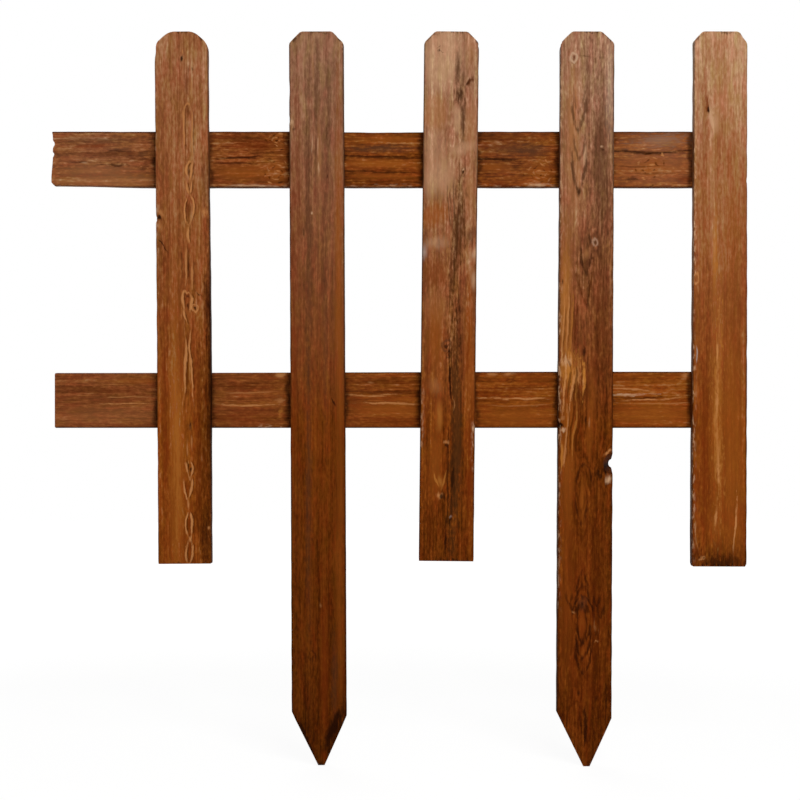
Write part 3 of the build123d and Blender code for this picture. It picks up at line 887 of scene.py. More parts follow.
def placing(board, head):
    """Takes a board from its own millimetres to its place in the fence."""
    turn = Matrix.Rotation(-radians(board.lean), 4, "Y")
    return Matrix.Translation(head) @ turn @ Matrix.Scale(MM, 4)


def pit_corners(board, shape, board_length, half):
    """The arc that a fallen knot leaves in the right edge, halfway through the board, head end first."""
    outside = shape.lost_knot_outside / MM
    radius = (shape.lost_knot_front + shape.lost_knot_back) / 2 / MM
    reach = pi - 2 * asin(outside / radius)
    middle = board_length - board.lost_knot
    steps = 10
    arc = []
    for step in range(steps + 1):
        angle = reach * (step / steps - 0.5)
        arc.append((half + outside - radius * cos(angle), middle + radius * sin(angle)))
    return arc


def outline(board, shape, board_length, half):
    """Front outline of a board as corners, across and along, clockwise from the head's left."""
    if board.is_rail:
        return [(-half, 0), (half, 0), (half, board_length), (-half, board_length)]
    flat = half - board.ear_width
    corners = [(-flat, 0), (flat, 0), (half, board.ear_height)]
    if board.lost_knot is not None:
        corners += pit_corners(board, shape, board_length, half)
    if board.tip_offset is None:
        corners += [(half, board_length), (-half, board_length)]
    else:
        right = board.tip_offset + shape.tip_width / MM / 2
        left = board.tip_offset - shape.tip_width / MM / 2
        right_cut = (half - right) / tan(shape.point_right_angle)
        left_cut = (left + half) / tan(shape.point_left_angle)
        corners += [(half, board_length - right_cut), (right, board_length),
                    (left, board_length), (-half, board_length - left_cut)]
    return corners + [(-half, board.ear_height)]


def taper_pit(bm, board, shape, board_length, half, thickness):
    """Opens the fallen knot's pit towards the front."""
    outside = shape.lost_knot_outside / MM
    front, back = shape.lost_knot_front / MM, shape.lost_knot_back / MM
    axis = Vector((half + outside, 0, board.lost_knot - board_length))
    for vert in bm.verts:
        spoke = Vector((vert.co.x - axis.x, 0, vert.co.z - axis.z))
        if spoke.length > (front + back) / 2 + 0.1:
            continue
        radius = front + (back - front) * vert.co.y / thickness
        edge_rise = sqrt(radius ** 2 - outside ** 2)
        if vert.co.x > half - 0.01:
            vert.co.z = axis.z + (edge_rise if spoke.z > 0 else -edge_rise)
        else:
            spoke *= radius / spoke.length
            vert.co.x, vert.co.z = axis.x + spoke.x, axis.z + spoke.z


def slice_mesh(bm, axis, start, stop, step):
    """Cuts the whole mesh by even planes, so that it can carry relief."""
    normal = [0, 0, 0]
    normal[axis] = 1
    count = max(round((stop - start) / step), 1)
    for cut in range(1, count):
        point = [0, 0, 0]
        point[axis] = start + (stop - start) * cut / count
        bmesh.ops.bisect_plane(bm, geom=bm.verts[:] + bm.edges[:] + bm.faces[:], dist=0.001, plane_co=point,
                               plane_no=normal)


def bell(distance):
    """A smooth hump: one at nought, and nought from one on."""
    if distance >= 1:
        return 0.0
    return (1 - distance * distance) ** 2


def rough(place):
    """Smooth noise from nought to one."""
    return 0.5 + 0.5 * noise.noise(place)


def round_pit(board, board_length, half, x, z):
    """Whether a point lies round the pit of a fallen knot, where no saw has been."""
    if board.lost_knot is None:
        return False
    across, along = PIT_REACH
    return x > half - across and abs(z + board_length - board.lost_knot) < along


def wear(bm, board, board_length, half, thickness, dimples):
    """Sculpts the board inwards: rubbed and chipped arrises, a wavy face, rough cuts and nail dimples."""
    own = Vector((board.number(97), 0, 0))
    bm.normal_update()
    normals = {vert: vert.normal.copy() for vert in bm.verts}
    for vert in bm.verts:
        x, y, z = vert.co
        side = 1 if x > 0 else -1
        front = y < thickness / 2
        skin = y if front else thickness - y
        edge = half - abs(x)
        inward = Vector((-side, 0, 0))
        deeper = Vector((0, 1 if front else -1, 0))
        shift = Vector((0, 0, 0))
        near = max(0.0, 1 - edge / RUB_REACH) * max(0.0, 1 - skin / RUB_REACH)
        rub = rough(own + Vector((side * 9, y / 6, z / 16)))
        shift += (inward + deeper) * (RUB_DEPTH * near * rub * rub)
        for chip in board.chips:
            bite = bell(abs(-z - chip.along) / chip.half_length)
            if bite and side == chip.side and (front or chip.through):
                fade = 1.0 if chip.through else max(0.0, 1 - skin / CHIP_THROUGH)
                shift += inward * (chip.depth * bite * max(0.0, 1 - edge / CHIP_REACH) * fade)
        if skin < 0.2 and edge > 1:
            wave = rough(own + Vector((x / 9, y, z / 70)))
            shift += deeper * (WAVE_DEPTH * wave)
        for across, up, reach, depth in dimples:
            if not front:
                shift += deeper * (depth * bell(hypot(x - across, z - up) / reach))
        ragged = rough(own + Vector((x / 1.8, y / 4, z / 1.8)))
        cut = normals[vert]
        if abs(cut.z) > 0.3 and abs(cut.y) < 0.8 and not round_pit(board, board_length, half, x, z):
            shift -= Vector((cut.x, 0, cut.z)) * (SAW_DEPTH * ragged * ragged)
        for across, reach, depth in board.bites:
            fade = max(0.0, 1 + z / BITE_REACH)
            shift.z -= depth * bell(abs(x - across) / reach) * fade * (0.8 + 0.4 * ragged)
        vert.co = Vector((x, y, z)) + shift


def is_arris(edge, thickness, half, long_edges):
    """Whether an edge of the sawn blank is one of its long edges, or else an edge of a sawn end."""
    first, last = (vert.co for vert in edge.verts)
    on_face = abs(first.y - last.y) < 0.001 and (first.y < 0.001 or first.y > thickness - 0.001)
    on_side = abs(abs(first.x) - half) < 0.001 and abs(abs(last.x) - half) < 0.001
    is_long = abs(first.z - last.z) > 0.001 and on_side
    return on_face and is_long == long_edges


def saw(board, shape, dimples=()):
    """Saws, eases, slices and wears one board, and returns it as an object in its place."""
    head, board_length, width, thickness = place_of(board, shape)
    half = width / 2
    bm = bmesh.new()
    points = outline(board, shape, board_length, half)
    corners = [bm.verts.new((across, 0, -along)) for across, along in points]
    bm.faces.new(corners)
    if not board.is_rail:
        ears = [corners[0], corners[1], corners[2], corners[-1]]
        bmesh.ops.bevel(bm, geom=ears, offset=board.ear_ease, segments=3, profile=0.5, affect="VERTICES",
                        material=-1, clamp_overlap=True)
    back = bmesh.ops.extrude_face_region(bm, geom=bm.faces[:], use_keep_orig=True)
    back_verts = [item for item in back["geom"] if isinstance(item, bmesh.types.BMVert)]
    bmesh.ops.translate(bm, verts=back_verts, vec=(0, thickness, 0))
    bmesh.ops.recalc_face_normals(bm, faces=bm.faces)
    if board.lost_knot is not None:
        taper_pit(bm, board, shape, board_length, half, thickness)
    for long_edges, ease, segments in ((True, shape.arris / MM, 3), (False, shape.cut_ease / MM, 2)):
        edges = [edge for edge in bm.edges if is_arris(edge, thickness, half, long_edges)]
        bmesh.ops.bevel(bm, geom=edges, offset=ease, segments=segments, profile=0.5, affect="EDGES",
                        material=-1, clamp_overlap=True)
    slice_mesh(bm, 2, 0, -board_length, -shape.slice_along / MM)
    slice_mesh(bm, 2, 0, -board.ear_height, -EAR_SLICE)
    slice_mesh(bm, 0, -half, half, shape.slice_across / MM)
    slice_mesh(bm, 1, 0, thickness, thickness / 5)
    wear(bm, board, board_length, half, thickness, dimples)
    bmesh.ops.translate(bm, verts=bm.verts, vec=(0, -thickness / 2, 0))
    bmesh.ops.transform(bm, matrix=placing(board, head), verts=bm.verts)
    bmesh.ops.recalc_face_normals(bm, faces=bm.faces)
    return finished(bm, f"{board.node}_wood"), head, board_length, half


def finished(bm, name):
    """Turns a bmesh into an object of the fence, smooth but for its sharp edges."""
    mesh = bpy.data.meshes.new(name)
    bm.to_mesh(mesh)
    bm.free()
    mesh.polygons.foreach_set("use_smooth", [True] * len(mesh.polygons))
    mesh.set_sharp_from_angle(angle=SHARP)
    piece = bpy.data.objects.new(name, mesh)
    bpy.context.scene.collection.objects.link(piece)
    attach(piece, BODY)
    return piece


# Materials


def add(tree, kind, inputs, out=0, stops=(), **settings):
    """Adds a node with its settings, sets or links its inputs, and returns one of its outputs."""
    node = tree.nodes.new("ShaderNode" + kind)
    for name, value in settings.items():
        setattr(node, name, value)
    for socket, value in inputs.items():
        if isinstance(value, bpy.types.NodeSocket):
            tree.links.new(value, node.inputs[socket])
        else:
            node.inputs[socket].default_value = value
    for index, (position, shade) in enumerate(stops):
        ramp = node.color_ramp.elements
        stop = ramp[index] if index < 2 else ramp.new(position)
        stop.position = position
        stop.color = (*shade, 1)
    return node.outputs[out] if node.outputs else node


def bare_material(name):
    """A new material, and its tree with no nodes yet."""
    material = bpy.data.materials.new(name)
    material.use_nodes = True
    material.node_tree.nodes.clear()
    return material, material.node_tree


def off_spot(tree, face, spot, turn=0.0):
    """How far a point on a face lies from a mark or a swelling: nought at its middle, one on its rim."""
    middle = Vector((spot.across, 0, spot.along))
    scale = Vector((1 / spot.half_width, 0, 1 / spot.half_length))
    if turn:
        # Turns across and along into along, off the spot's long axis, and minus across
        slant = Vector((-sin(turn), -1, -cos(turn)))
        face = add(tree, "VectorMath", {0: face, 1: slant}, operation="CROSS_PRODUCT")
        middle = middle.cross(slant)
        if abs(turn) < pi / 4:
            scale = Vector((1 / (spot.half_length * cos(turn)), 1 / spot.half_width, 0))
        else:
            scale = Vector((0, 1 / spot.half_width, 1 / (spot.half_length * sin(turn))))
    place = add(tree, "VectorMath", {0: face, 1: scale, 2: -middle * scale}, operation="MULTIPLY_ADD")
    return add(tree, "VectorMath", {0: place}, "Value", operation="LENGTH")


def bent(tree, across, along, mark):
    """Across and along, with the bends of a mark's path taken out of across."""
    start, stop = mark.path[0][1], mark.path[-1][1]
    share = add(tree, "MapRange", {"Value": along, "From Min": start, "From Max": stop})
    line = add(tree, "FloatCurve", {"Value": share})
    points = line.node.mapping.curves[0].points
    for index, (path_across, path_along) in enumerate((mark.path[0], mark.path[-1], *mark.path[1:-1])):
        place = ((path_along - start) / (stop - start), 0.5 + path_across / (2 * PATH_REACH))
        if index < 2:
            points[index].location = place
        else:
            points.new(*place)
    line.node.mapping.update()
    straight = add(tree, "Math", {0: line, 1: -2 * PATH_REACH, 2: across}, operation="MULTIPLY_ADD")
    straight = add(tree, "Math", {0: straight, 1: PATH_REACH}, operation="ADD")
    return add(tree, "CombineXYZ", {0: straight, 2: along})


def singed(board, board_length, half):
    """Marks along the saw cuts at a picket's head and foot, where the scorching caught."""
    flat = half - board.ear_width
    slant = degrees(atan2(board.ear_width, board.ear_height))
    reach = hypot(board.ear_width, board.ear_height) * 0.55
    ear_across, ear_along = flat + board.ear_width / 2, board.ear_height / 2
    marks = [Mark(0, 0.4, flat + 3, 1.7, "char", 0.6, fray=1.0)]
    for side in (-1, 1):
        marks.append(Mark(side * ear_across, ear_along, 1.7, reach, "char", 0.6, side * slant, fray=1.0))
    if board.tip_offset is None:
        marks.append(Mark(0, board_length, half, 1.7, "char", 0.6, fray=1.0))
    return marks


def wandering(tree, on_board, own):
    """Millimetres on the board, with the wander of the grain."""
    grain = on_board
    for across_mm, along_mm, sway in WANDER:
        wander_at = add(tree, "Mapping", {"Vector": on_board, "Location": own,
                                          "Scale": (1 / across_mm, 1 / across_mm, 1 / along_mm)})
        wander = add(tree, "TexNoise", {"Vector": wander_at, "Scale": 1.0, "Detail": 2.0}, "Color")
        red, green, blue = add(tree, "SeparateColor", {0: wander}).node.outputs
        wander = add(tree, "CombineXYZ", {0: red, 1: green, 2: blue})
        offset = add(tree, "VectorMath",
                     {0: wander, 1: (sway, sway, 3 * sway), 2: (-sway / 2, -sway / 2, -1.5 * sway)},
                     operation="MULTIPLY_ADD")
        grain = add(tree, "VectorMath", {0: grain, 1: offset}, operation="ADD")
    return grain


def stain_patterns(tree, on_board, own):
    """Pores, fibres, streaks, blotches and flecks of the stain, and its drift in hue, by name."""
    patterns = {}
    for name, (across_mm, along_mm, detail) in PATTERNS.items():
        pattern_at = add(tree, "Mapping", {"Vector": on_board, "Location": own,
                                           "Scale": (1 / across_mm, 1 / across_mm, 1 / along_mm)})
        patterns[name] = add(tree, "TexNoise",
                             {"Vector": pattern_at, "Scale": 1.0, "Detail": detail, "Roughness": 0.6})
    return patterns


def growth_rings(tree, board, grain):
    """The board's face with the grain's wander, and how far its late wood shows, bent by the swellings."""
    pith_way = Vector((tan(radians(board.pith_tilt[0])), tan(radians(board.pith_tilt[1])), 1)).normalized()
    from_pith = add(tree, "VectorMath", {0: grain, 1: (*board.pith, 0)}, operation="SUBTRACT")
    from_pith = add(tree, "VectorMath", {0: from_pith, 1: pith_way}, operation="CROSS_PRODUCT")
    rings = add(tree, "VectorMath", {0: from_pith}, "Value", operation="LENGTH")
    face = add(tree, "VectorMath", {0: grain, 1: (1, 0, 1)}, operation="MULTIPLY")
    for swell in board.swells:
        distance = off_spot(tree, face, swell)
        rise = add(tree, "MapRange", {"Value": distance, "To Min": swell.rise, "To Max": 0.0},
                   interpolation_type="SMOOTHSTEP")
        rings = add(tree, "Math", {0: rings, 1: rise}, operation="ADD")
    year = add(tree, "Math", {0: rings, 1: 1 / board.ring}, operation="MULTIPLY")
    uneven_year = add(tree, "TexNoise", {"W": year, "Scale": 0.37, "Detail": 1.0}, noise_dimensions="1D")
    year = add(tree, "Math", {0: uneven_year, 1: 1.6, 2: year}, operation="MULTIPLY_ADD")
    season = add(tree, "Math", {0: year}, operation="FRACT")
    summer = add(tree, "MapRange", {"Value": season, "From Min": 0.3, "From Max": 0.82})
    winter = add(tree, "MapRange", {"Value": season, "From Min": 1.0, "From Max": 0.9})
    late = add(tree, "Math", {0: summer, 1: winter}, operation="MINIMUM")
    return face, late


def stain_shade(tree, board, stain, patterns, late, along, board_length):
    """Colour of the stain: its tone down the board, a painted sheen that greys and lightens the head, and a
    drift in hue.
    """
    head_tone, middle_tone, foot_tone = board.tones
    centred = board.ring_contrast * 0.3 - 0.5 * board.figure * sum(TONE_SHARES.values())
    # Down a picket, the lighter head and darker foot are partly painted light: lighter at the top, where
    # more light falls
    upper = add(tree, "MapRange", {"Value": along, "From Max": board_length / 2,
                                   "To Min": head_tone + centred, "To Max": middle_tone + centred})
    lower = add(tree, "MapRange", {"Value": along, "From Min": board_length / 2, "From Max": board_length,
                                   "To Max": foot_tone - middle_tone})
    tone = add(tree, "Math", {0: upper, 1: lower}, operation="ADD")
    for name, share in TONE_SHARES.items():
        tone = add(tree, "Math", {0: patterns[name], 1: share * board.figure, 2: tone},
                   operation="MULTIPLY_ADD")
    tone = add(tree, "Math", {0: late, 1: -board.ring_contrast, 2: tone}, operation="MULTIPLY_ADD")
    shade = add(tree, "ValToRGB", {"Fac": tone},
                stops=[(0.0, stain.char), (1.0, stain.bare), (0.22, stain.deep), (0.5, stain.body),
                       (0.64, stain.amber), (0.78, stain.pale)])
    # Greyed colours of the painted sheen over the heads
    veiled = add(tree, "ValToRGB", {"Fac": tone},
                    stops=[(0.0, stain.char), (1.0, stain.grey_bare), (0.22, stain.grey_deep),
                           (0.5, stain.grey_body), (0.78, stain.grey_pale)])
    sheen_share = add(tree, "MapRange", {"Value": along, "From Min": SHEEN_START, "From Max": SHEEN_END,
                                       "To Min": board.painted_sheen, "To Max": 0.0})
    shade = add(tree, "Mix", {0: sheen_share, 6: shade, 7: veiled}, 2, data_type="RGBA")
    tint = add(tree, "ValToRGB", {"Fac": patterns["hue"]},
               stops=[(0.32, (1.06, 0.86, 0.9)), (0.68, (0.96, 1.08, 0.86)), (0.5, (1, 1, 1))])
    return add(tree, "Mix", {0: 1.0, 6: shade, 7: tint}, 2, data_type="RGBA", blend_type="MULTIPLY")


def draw_marks(tree, marks, stain, patterns, face, front, late, shade):
    """Lays marks with rough edges over a colour, and returns it with the height of grain and marks."""
    fibre, pore = patterns["fibre"], patterns["pore"]
    face_across = add(tree, "VectorMath", {0: face, 1: (1, 0, 0)}, "Value", operation="DOT_PRODUCT")
    face_along = add(tree, "VectorMath", {0: face, 1: (0, 0, 1)}, "Value", operation="DOT_PRODUCT")
    height = add(tree, "Math", {0: late, 1: 0.14, 2: fibre}, operation="MULTIPLY_ADD")
    frayed = add(tree, "Math", {0: fibre, 1: pore}, operation="ADD")
    frayed = add(tree, "Math", {0: frayed, 1: 2.5, 2: -2.5}, operation="MULTIPLY_ADD")
    for mark in marks:
        laid = bent(tree, face_across, face_along, mark) if mark.path else face
        distance = off_spot(tree, laid, mark, radians(mark.turn))
        if mark.line:
            distance = add(tree, "Math", {0: distance, 1: 1.0}, operation="SUBTRACT")
            distance = add(tree, "Math", {0: distance}, operation="ABSOLUTE")
            distance = add(tree, "Math", {0: distance, 1: mark.line}, operation="DIVIDE")
        distance = add(tree, "Math", {0: frayed, 1: mark.fray, 2: distance}, operation="MULTIPLY_ADD")
        cover = add(tree, "MapRange", {"Value": distance, "From Min": mark.solid, "To Min": mark.strength,
                                       "To Max": 0.0}, interpolation_type="SMOOTHSTEP")
        if mark.on_front:
            cover = add(tree, "Math", {0: cover, 1: front}, operation="MULTIPLY")
        ink = (*getattr(stain, mark.colour), 1)
        shade = add(tree, "Mix", {0: cover, 6: shade, 7: ink}, 2, data_type="RGBA")
        if mark.height:
            height = add(tree, "Math", {0: cover, 1: mark.height / mark.strength, 2: height},
                         operation="MULTIPLY_ADD")
    return shade, height


def scorch_edges(tree, stain, blotch, across, half, shade):
    """Chars the long edges, with a ragged border."""
    off_middle = add(tree, "Math", {0: across}, operation="ABSOLUTE")
    ragged_edge = add(tree, "Math", {0: blotch, 1: 2.4, 2: off_middle}, operation="MULTIPLY_ADD")
    scorch = add(tree, "MapRange", {"Value": ragged_edge, "From Min": half - 1.2, "From Max": half + 1.2,
                                    "To Max": 0.75}, interpolation_type="SMOOTHSTEP")
    return add(tree, "Mix", {0: scorch, 6: shade, 7: (*stain.char, 1)}, 2, data_type="RGBA")


def rub_edges(tree, board, stain, fleck, front, across, along, half, shade):
    """Rubs flecks of stain off the worn stretches of the front edges."""
    rubbed = add(tree, "MapRange", {"Value": fleck, "From Min": 0.5, "From Max": 0.66})
    rubbed = add(tree, "Math", {0: rubbed, 1: front}, operation="MULTIPLY")
    for worn in board.worn:
        inner, outer = worn.side * (half - 5), worn.side * (half - 1.5)
        band = add(tree, "MapRange", {"Value": across, "From Min": inner, "From Max": outer,
                                      "To Max": worn.strength})
        midway, reach = (worn.start + worn.end) / 2, (worn.end - worn.start) / 2
        off = add(tree, "Math", {0: along, 1: -midway}, operation="ADD")
        off = add(tree, "Math", {0: off}, operation="ABSOLUTE")
        stretch = add(tree, "MapRange", {"Value": off, "From Min": reach * 0.8, "From Max": reach,
                                         "To Min": 1.0, "To Max": 0.0})
        cover = add(tree, "Math", {0: band, 1: stretch}, operation="MULTIPLY")
        cover = add(tree, "Math", {0: cover, 1: rubbed}, operation="MULTIPLY")
        shade = add(tree, "Mix", {0: cover, 6: shade, 7: (*stain.bare, 1)}, 2, data_type="RGBA")
    return shade


def soak_ends(tree, stain, facing, lengthwise, shade):
    """Darkens the thirsty end grain."""
    on_end = add(tree, "VectorMath", {0: facing, 1: lengthwise}, "Value", operation="DOT_PRODUCT")
    on_end = add(tree, "Math", {0: on_end}, operation="ABSOLUTE")
    thirst = add(tree, "MapRange", {"Value": on_end, "From Min": 0.3, "From Max": 0.6, "To Max": 0.6})
    return add(tree, "Mix", {0: thirst, 6: shade, 7: (*stain.deep, 1)}, 2, data_type="RGBA")


def stained_softwood(board, stain, scorch_and_painted_shade, head, board_length, half):
    """Softwood planed, scorched, brushed and stained once.

    Gives the eye soft streaks along the grain, thin growth rings that bend around knots, scorched edges,
    cracks and knots, raised grain rubbed nearly bare, and the dull sheen of an oil stain. It also paints
    light:
    a painted sheen that greys and lightens the heads, and painted shade on the rails beside the pickets.
    """
    material, tree = bare_material(f"stained_softwood_{board.node}")
    at = add(tree, "TexCoord", {}, "Object")
    facing = add(tree, "TexCoord", {}, "Normal")
    turn = (0, -radians(board.lean), 0)
    own = (board.number(89) * 7.0,) * 3
    on_board = add(tree, "Mapping", {"Vector": at, "Location": head, "Rotation": turn,
                                     "Scale": (MM, MM, -MM)}, vector_type="TEXTURE")
    grain = wandering(tree, on_board, own)
    patterns = stain_patterns(tree, on_board, own)
    face, late = growth_rings(tree, board, grain)
    across, depth, along = add(tree, "SeparateXYZ", {0: on_board}).node.outputs
    front = add(tree, "MapRange", {"Value": depth, "From Min": 1.0, "From Max": -5.0})
    shade = stain_shade(tree, board, stain, patterns, late, along, board_length)
    shade, height = draw_marks(tree, board.marks + scorch_and_painted_shade, stain, patterns, face, front, late, shade)
    shade = scorch_edges(tree, stain, patterns["blotch"], across, half, shade)
    shade = rub_edges(tree, board, stain, patterns["fleck"], front, across, along, half, shade)
    shade = soak_ends(tree, stain, facing, (sin(turn[1]), 0, cos(turn[1])), shade)
    bump = add(tree, "Bump", {"Height": height, "Distance": 0.35 * MM, "Strength": 1.0})
    sheen = add(tree, "MapRange", {"Value": patterns["fibre"], "To Min": stain.roughness + 0.12,
                                   "To Max": stain.roughness - 0.12})
    surface = add(tree, "BsdfPrincipled", {"Base Color": shade, "Roughness": sheen, "Normal": bump,
                                           "IOR": 1.5, "Specular IOR Level": stain.specular})
    add(tree, "OutputMaterial", {"Surface": surface})
    return material


def nail_steel():
    """Bright wire nail, left outdoors: dull zinc grey heads with patches of rust."""
    material, tree = bare_material("nail_steel")
    at = add(tree, "TexCoord", {}, "Object")
    rust = add(tree, "TexNoise", {"Vector": at, "Scale": 1 / (2.5 * MM), "Detail": 4.0})
    shade = add(tree, "ValToRGB", {"Fac": rust},
                stops=[(0.42, linear("#75706a")), (0.62, linear("#6b3a1e"))])
    metallic = add(tree, "MapRange", {"Value": rust, "From Min": 0.45, "From Max": 0.6, "To Min": 1.0,
                                      "To Max": 0.0})
    surface = add(tree, "BsdfPrincipled", {"Base Color": shade, "Metallic": metallic, "Roughness": 0.5})
    add(tree, "OutputMaterial", {"Surface": surface})
    return material


# Putting the fence together


def crossings(rail, shape):
    """Where the pickets' middles cross a rail, in millimetres along it."""
    rail_head = place_of(rail, shape)[0]
    middles = []
    for picket in PICKETS:
        head = place_of(picket, shape)[0]
        drop = (head.z - rail_head.z) / MM
        middles.append((head.x - rail_head.x) / MM + drop * tan(radians(picket.lean)))
    return middles


def nail_places(rail, shape):
    """Where the nails go through a rail, two at each crossing, across and along it in millimetres."""
    up, beside = shape.nail_up / MM, shape.nail_across / MM
    return [(side * up, middle + side * beside) for middle in crossings(rail, shape) for side in (-1, 1)]


def painted_shade_beside_pickets(rail, shape):
    """Painted shade in char bands on a rail's front, beside each picket that crosses it, where the picket
    shades the rail.
    """
    half = shape.picket_width / MM / 2
    return [Mark(0, middle + side * half, 70, 5.0, "char", 0.7, fray=0.12, on_front=True)
            for middle in crossings(rail, shape) for side in (-1, 1)]


def dress(board, scene, dimples=()):
    """Makes one board, with its wood, in place of the CAD solid."""
    piece, head, board_length, half = saw(board, scene.fence_shape, dimples)
    # A rail gets painted shade beside the pickets; a picket gets scorch along its saw cuts
    scorch_and_painted_shade = painted_shade_beside_pickets(board, scene.fence_shape) if board.is_rail else singed(board, board_length, half)
    piece.data.materials.append(stained_softwood(board, scene.fence_stain, scorch_and_painted_shade, head, board_length, half))
    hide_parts(board.node)
    low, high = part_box(board.node)
    for axis in range(3):
        values = [vert.co[axis] for vert in piece.data.vertices]
        if min(values) < low[axis] - 0.1 * MM or max(values) > high[axis] + 0.1 * MM:
            raise RuntimeError(f"{board.node} leaves its place on axis {axis}")


class FENCE_OT_saw_pickets(bpy.types.Operator):
    """Saw, wear and stain the short pickets and the stakes"""

    bl_idname = "fence.saw_pickets"
    bl_label = "Saw pickets"

    def execute(self, context):
        for board in PICKETS:
            dress(board, context.scene)
        return {"FINISHED"}


class FENCE_OT_saw_rails(bpy.types.Operator):
    """Saw, wear and stain the rails, with a dimple under each nail"""

    bl_idname = "fence.saw_rails"
    bl_label = "Saw rails"

    def execute(self, context):
        shape = context.scene.fence_shape
        reach = shape.nail_head / MM * DIMPLE_SHARE
        for board in RAILS:
            places = nail_places(board, shape)
            dress(board, context.scene, [(across, -along, reach, DIMPLE_DEPTH) for across, along in places])
        return {"FINISHED"}


class FENCE_OT_drive_nails(bpy.types.Operator):
    """Set a flat nail head in each dimple on the rails' backs"""

    bl_idname = "fence.drive_nails"
    bl_label = "Drive nails"

    def execute(self, context):
        shape = context.scene.fence_shape
        radius = shape.nail_head / 2 / MM
        facing_back = Matrix.Rotation(-pi / 2, 4, "X")
        steel = nail_steel()
        for rail in RAILS:
            head, _, _, thickness = place_of(rail, shape)
            depth = thickness / 2 - NAIL_THICKNESS / 2 - NAIL_SUNK
            bm = bmesh.new()
            for across, along in nail_places(rail, shape):
                nail = bmesh.ops.create_cone(bm, cap_ends=True, segments=20, radius1=radius,
                                             radius2=radius - NAIL_TAPER, depth=NAIL_THICKNESS)
                sunk = Matrix.Translation((across, depth, -along))
                bmesh.ops.transform(bm, matrix=sunk @ facing_back, verts=nail["verts"])
            rims = [edge for edge in bm.edges if edge.calc_face_angle(0) > 0.6]
            bmesh.ops.bevel(bm, geom=rims, offset=NAIL_RIM, segments=2, profile=0.5, affect="EDGES",
                            material=-1)
            bmesh.ops.transform(bm, matrix=placing(rail, head), verts=bm.verts)
            nails = finished(bm, f"{rail.node}_nails")
            nails.data.materials.append(steel)
        return {"FINISHED"}


def soft_box(name, aim, away, width, height, watts):
    """A large soft lamp that faces a point from some way off."""
    lamp = bpy.data.lights.new(name, "AREA")
    lamp.shape = "RECTANGLE"
    lamp.size, lamp.size_y = width, height
    lamp.energy = watts
    box = bpy.data.objects.new(name, lamp)
    box.location = aim + Vector(away)
    box.rotation_euler = (aim - box.location).to_track_quat("-Z", "Y").to_euler()
    bpy.context.scene.collection.objects.link(box)


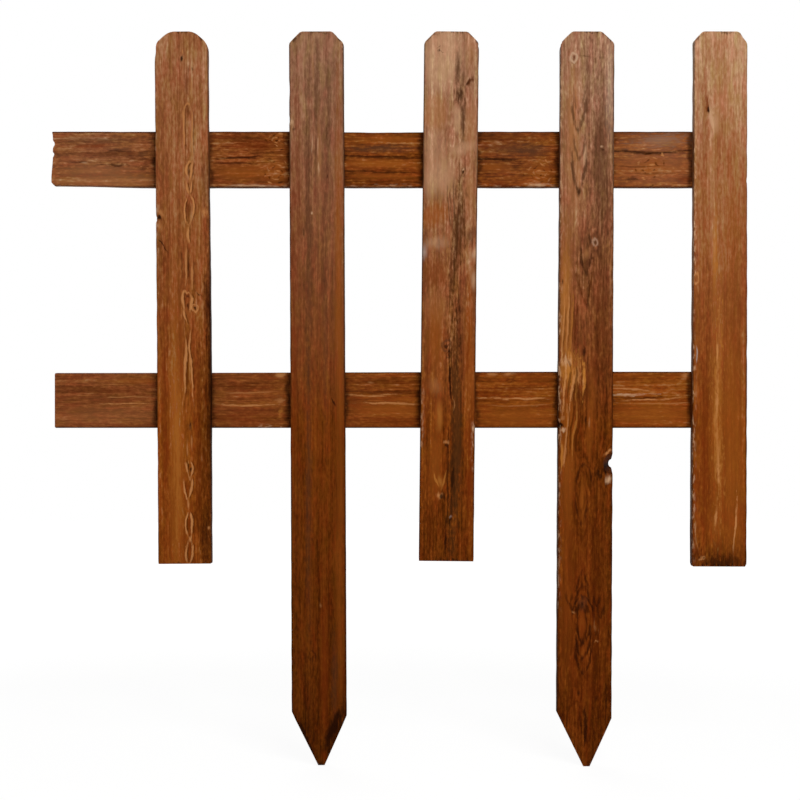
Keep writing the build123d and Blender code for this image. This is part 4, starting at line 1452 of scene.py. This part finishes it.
class FENCE_OT_set_stage(bpy.types.Operator):
    """Lay the floor, light the studio and place the camera"""

    bl_idname = "fence.set_stage"
    bl_label = "Set stage"

    def execute(self, context):
        scene = context.scene
        stage = scene.fence_stage
        scene.view_settings.view_transform = "Standard"
        self.lay_floor(stage)
        self.light_walls(scene, stage)
        middle = (Vector(CAD_BOX[0]) + Vector(CAD_BOX[1])) / 2
        soft_box("key", middle, (0.55, -2.05, 1.1), width=1.0, height=0.9, watts=stage.key_power)
        soft_box("fill", middle, (-1.8, -1.9, 0.5), width=1.6, height=1.6, watts=stage.fill_power)
        soft_box("back", middle, (-0.6, 2.2, 1.4), width=1.8, height=1.4, watts=stage.back_power)
        self.place_camera(scene, stage)
        return {"FINISHED"}

    def lay_floor(self, stage):
        bm = bmesh.new()
        bmesh.ops.create_grid(bm, x_segments=1, y_segments=1, size=stage.floor_size / 2)
        bmesh.ops.translate(bm, verts=bm.verts, vec=(0, 0, CAD_BOX[0][2]))
        mesh = bpy.data.meshes.new("floor")
        bm.to_mesh(mesh)
        bm.free()
        floor = bpy.data.objects.new("floor", mesh)
        bpy.context.scene.collection.objects.link(floor)
        mesh.materials.append(self.studio_floor(stage))

    def studio_floor(self, stage):
        """Matt white vinyl: shows as the white ground of the picture, and keeps a faint shadow."""
        material, tree = bare_material("studio_floor")
        lit = add(tree, "BsdfDiffuse", {"Color": (*stage.floor, 1)})
        white = add(tree, "Emission", {"Color": (1, 1, 1, 1), "Strength": 1.08})
        at = add(tree, "TexCoord", {}, "Object")
        away = add(tree, "VectorMath", {0: at}, "Value", operation="LENGTH")
        white_share = add(tree, "MapRange",
                          {"Value": away, "From Min": 0.7, "From Max": 2.2, "To Min": 0.86})
        seen = self.seen_rays(tree)
        share = add(tree, "Math", {0: seen, 1: white_share}, operation="MULTIPLY")
        surface = add(tree, "MixShader", {0: share, 1: lit, 2: white})
        add(tree, "OutputMaterial", {"Surface": surface})
        return material

    def seen_rays(self, tree):
        """One for rays that show the ground itself: straight, mirrored or through glass."""
        rays = add(tree, "LightPath", {}).node.outputs
        seen = add(tree, "Math", {0: rays["Is Camera Ray"], 1: rays["Is Glossy Ray"]}, operation="MAXIMUM")
        return add(tree, "Math", {0: seen, 1: rays["Is Transmission Ray"]}, operation="MAXIMUM")

    def light_walls(self, scene, stage):
        world = bpy.data.worlds.new("studio")
        world.use_nodes = True
        tree = world.node_tree
        tree.nodes.clear()
        seen = self.seen_rays(tree)
        strength = add(tree, "MapRange", {"Value": seen, "To Min": stage.ambient, "To Max": 1.0})
        light = add(tree, "Background", {"Color": (1, 1, 1, 1), "Strength": strength})
        add(tree, "OutputWorld", {"Surface": light})
        scene.world = world

    def place_camera(self, scene, stage):
        lens = bpy.data.cameras.new("camera")
        lens.sensor_fit = "HORIZONTAL"
        lens.sensor_width = 36
        lens.lens = lens.sensor_width * stage.camera_distance / stage.view_width
        camera = bpy.data.objects.new("camera", lens)
        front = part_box(PICKETS[0].node)[0].y
        camera.location = (stage.camera_across, front - stage.camera_distance, stage.camera_height)
        camera.rotation_euler = (pi / 2, 0, 0)
        scene.collection.objects.link(camera)
        scene.camera = camera


class FENCE_PT_panel(bpy.types.Panel):
    """Builds the fence step by step"""

    bl_idname = "FENCE_PT_panel"
    bl_label = "Garden fence"
    bl_space_type = "VIEW_3D"
    bl_region_type = "UI"
    bl_category = "Fence"

    def draw(self, context):
        for step in STEPS:
            self.layout.operator(step.bl_idname)
        for group in GROUPS:
            box = self.layout.box()
            settings = getattr(context.scene, group)
            for name in settings.__annotations__:
                box.prop(settings, name)


STEPS = (FENCE_OT_saw_pickets, FENCE_OT_saw_rails, FENCE_OT_drive_nails, FENCE_OT_set_stage)
GROUPS = {"fence_shape": FenceShape, "fence_stain": FenceStain, "fence_stage": FenceStage}


def register():
    for item in (*GROUPS.values(), *STEPS, FENCE_PT_panel):
        bpy.utils.register_class(item)
    for name, group in GROUPS.items():
        setattr(bpy.types.Scene, name, PointerProperty(type=group))


def unregister():
    for name in GROUPS:
        delattr(bpy.types.Scene, name)
    for item in (FENCE_PT_panel, *STEPS, *GROUPS.values()):
        bpy.utils.unregister_class(item)


def main():
    register()
    bpy.ops.fence.saw_pickets()
    bpy.ops.fence.saw_rails()
    bpy.ops.fence.drive_nails()
    bpy.ops.fence.set_stage()


if __name__ == "__main__":
    main()
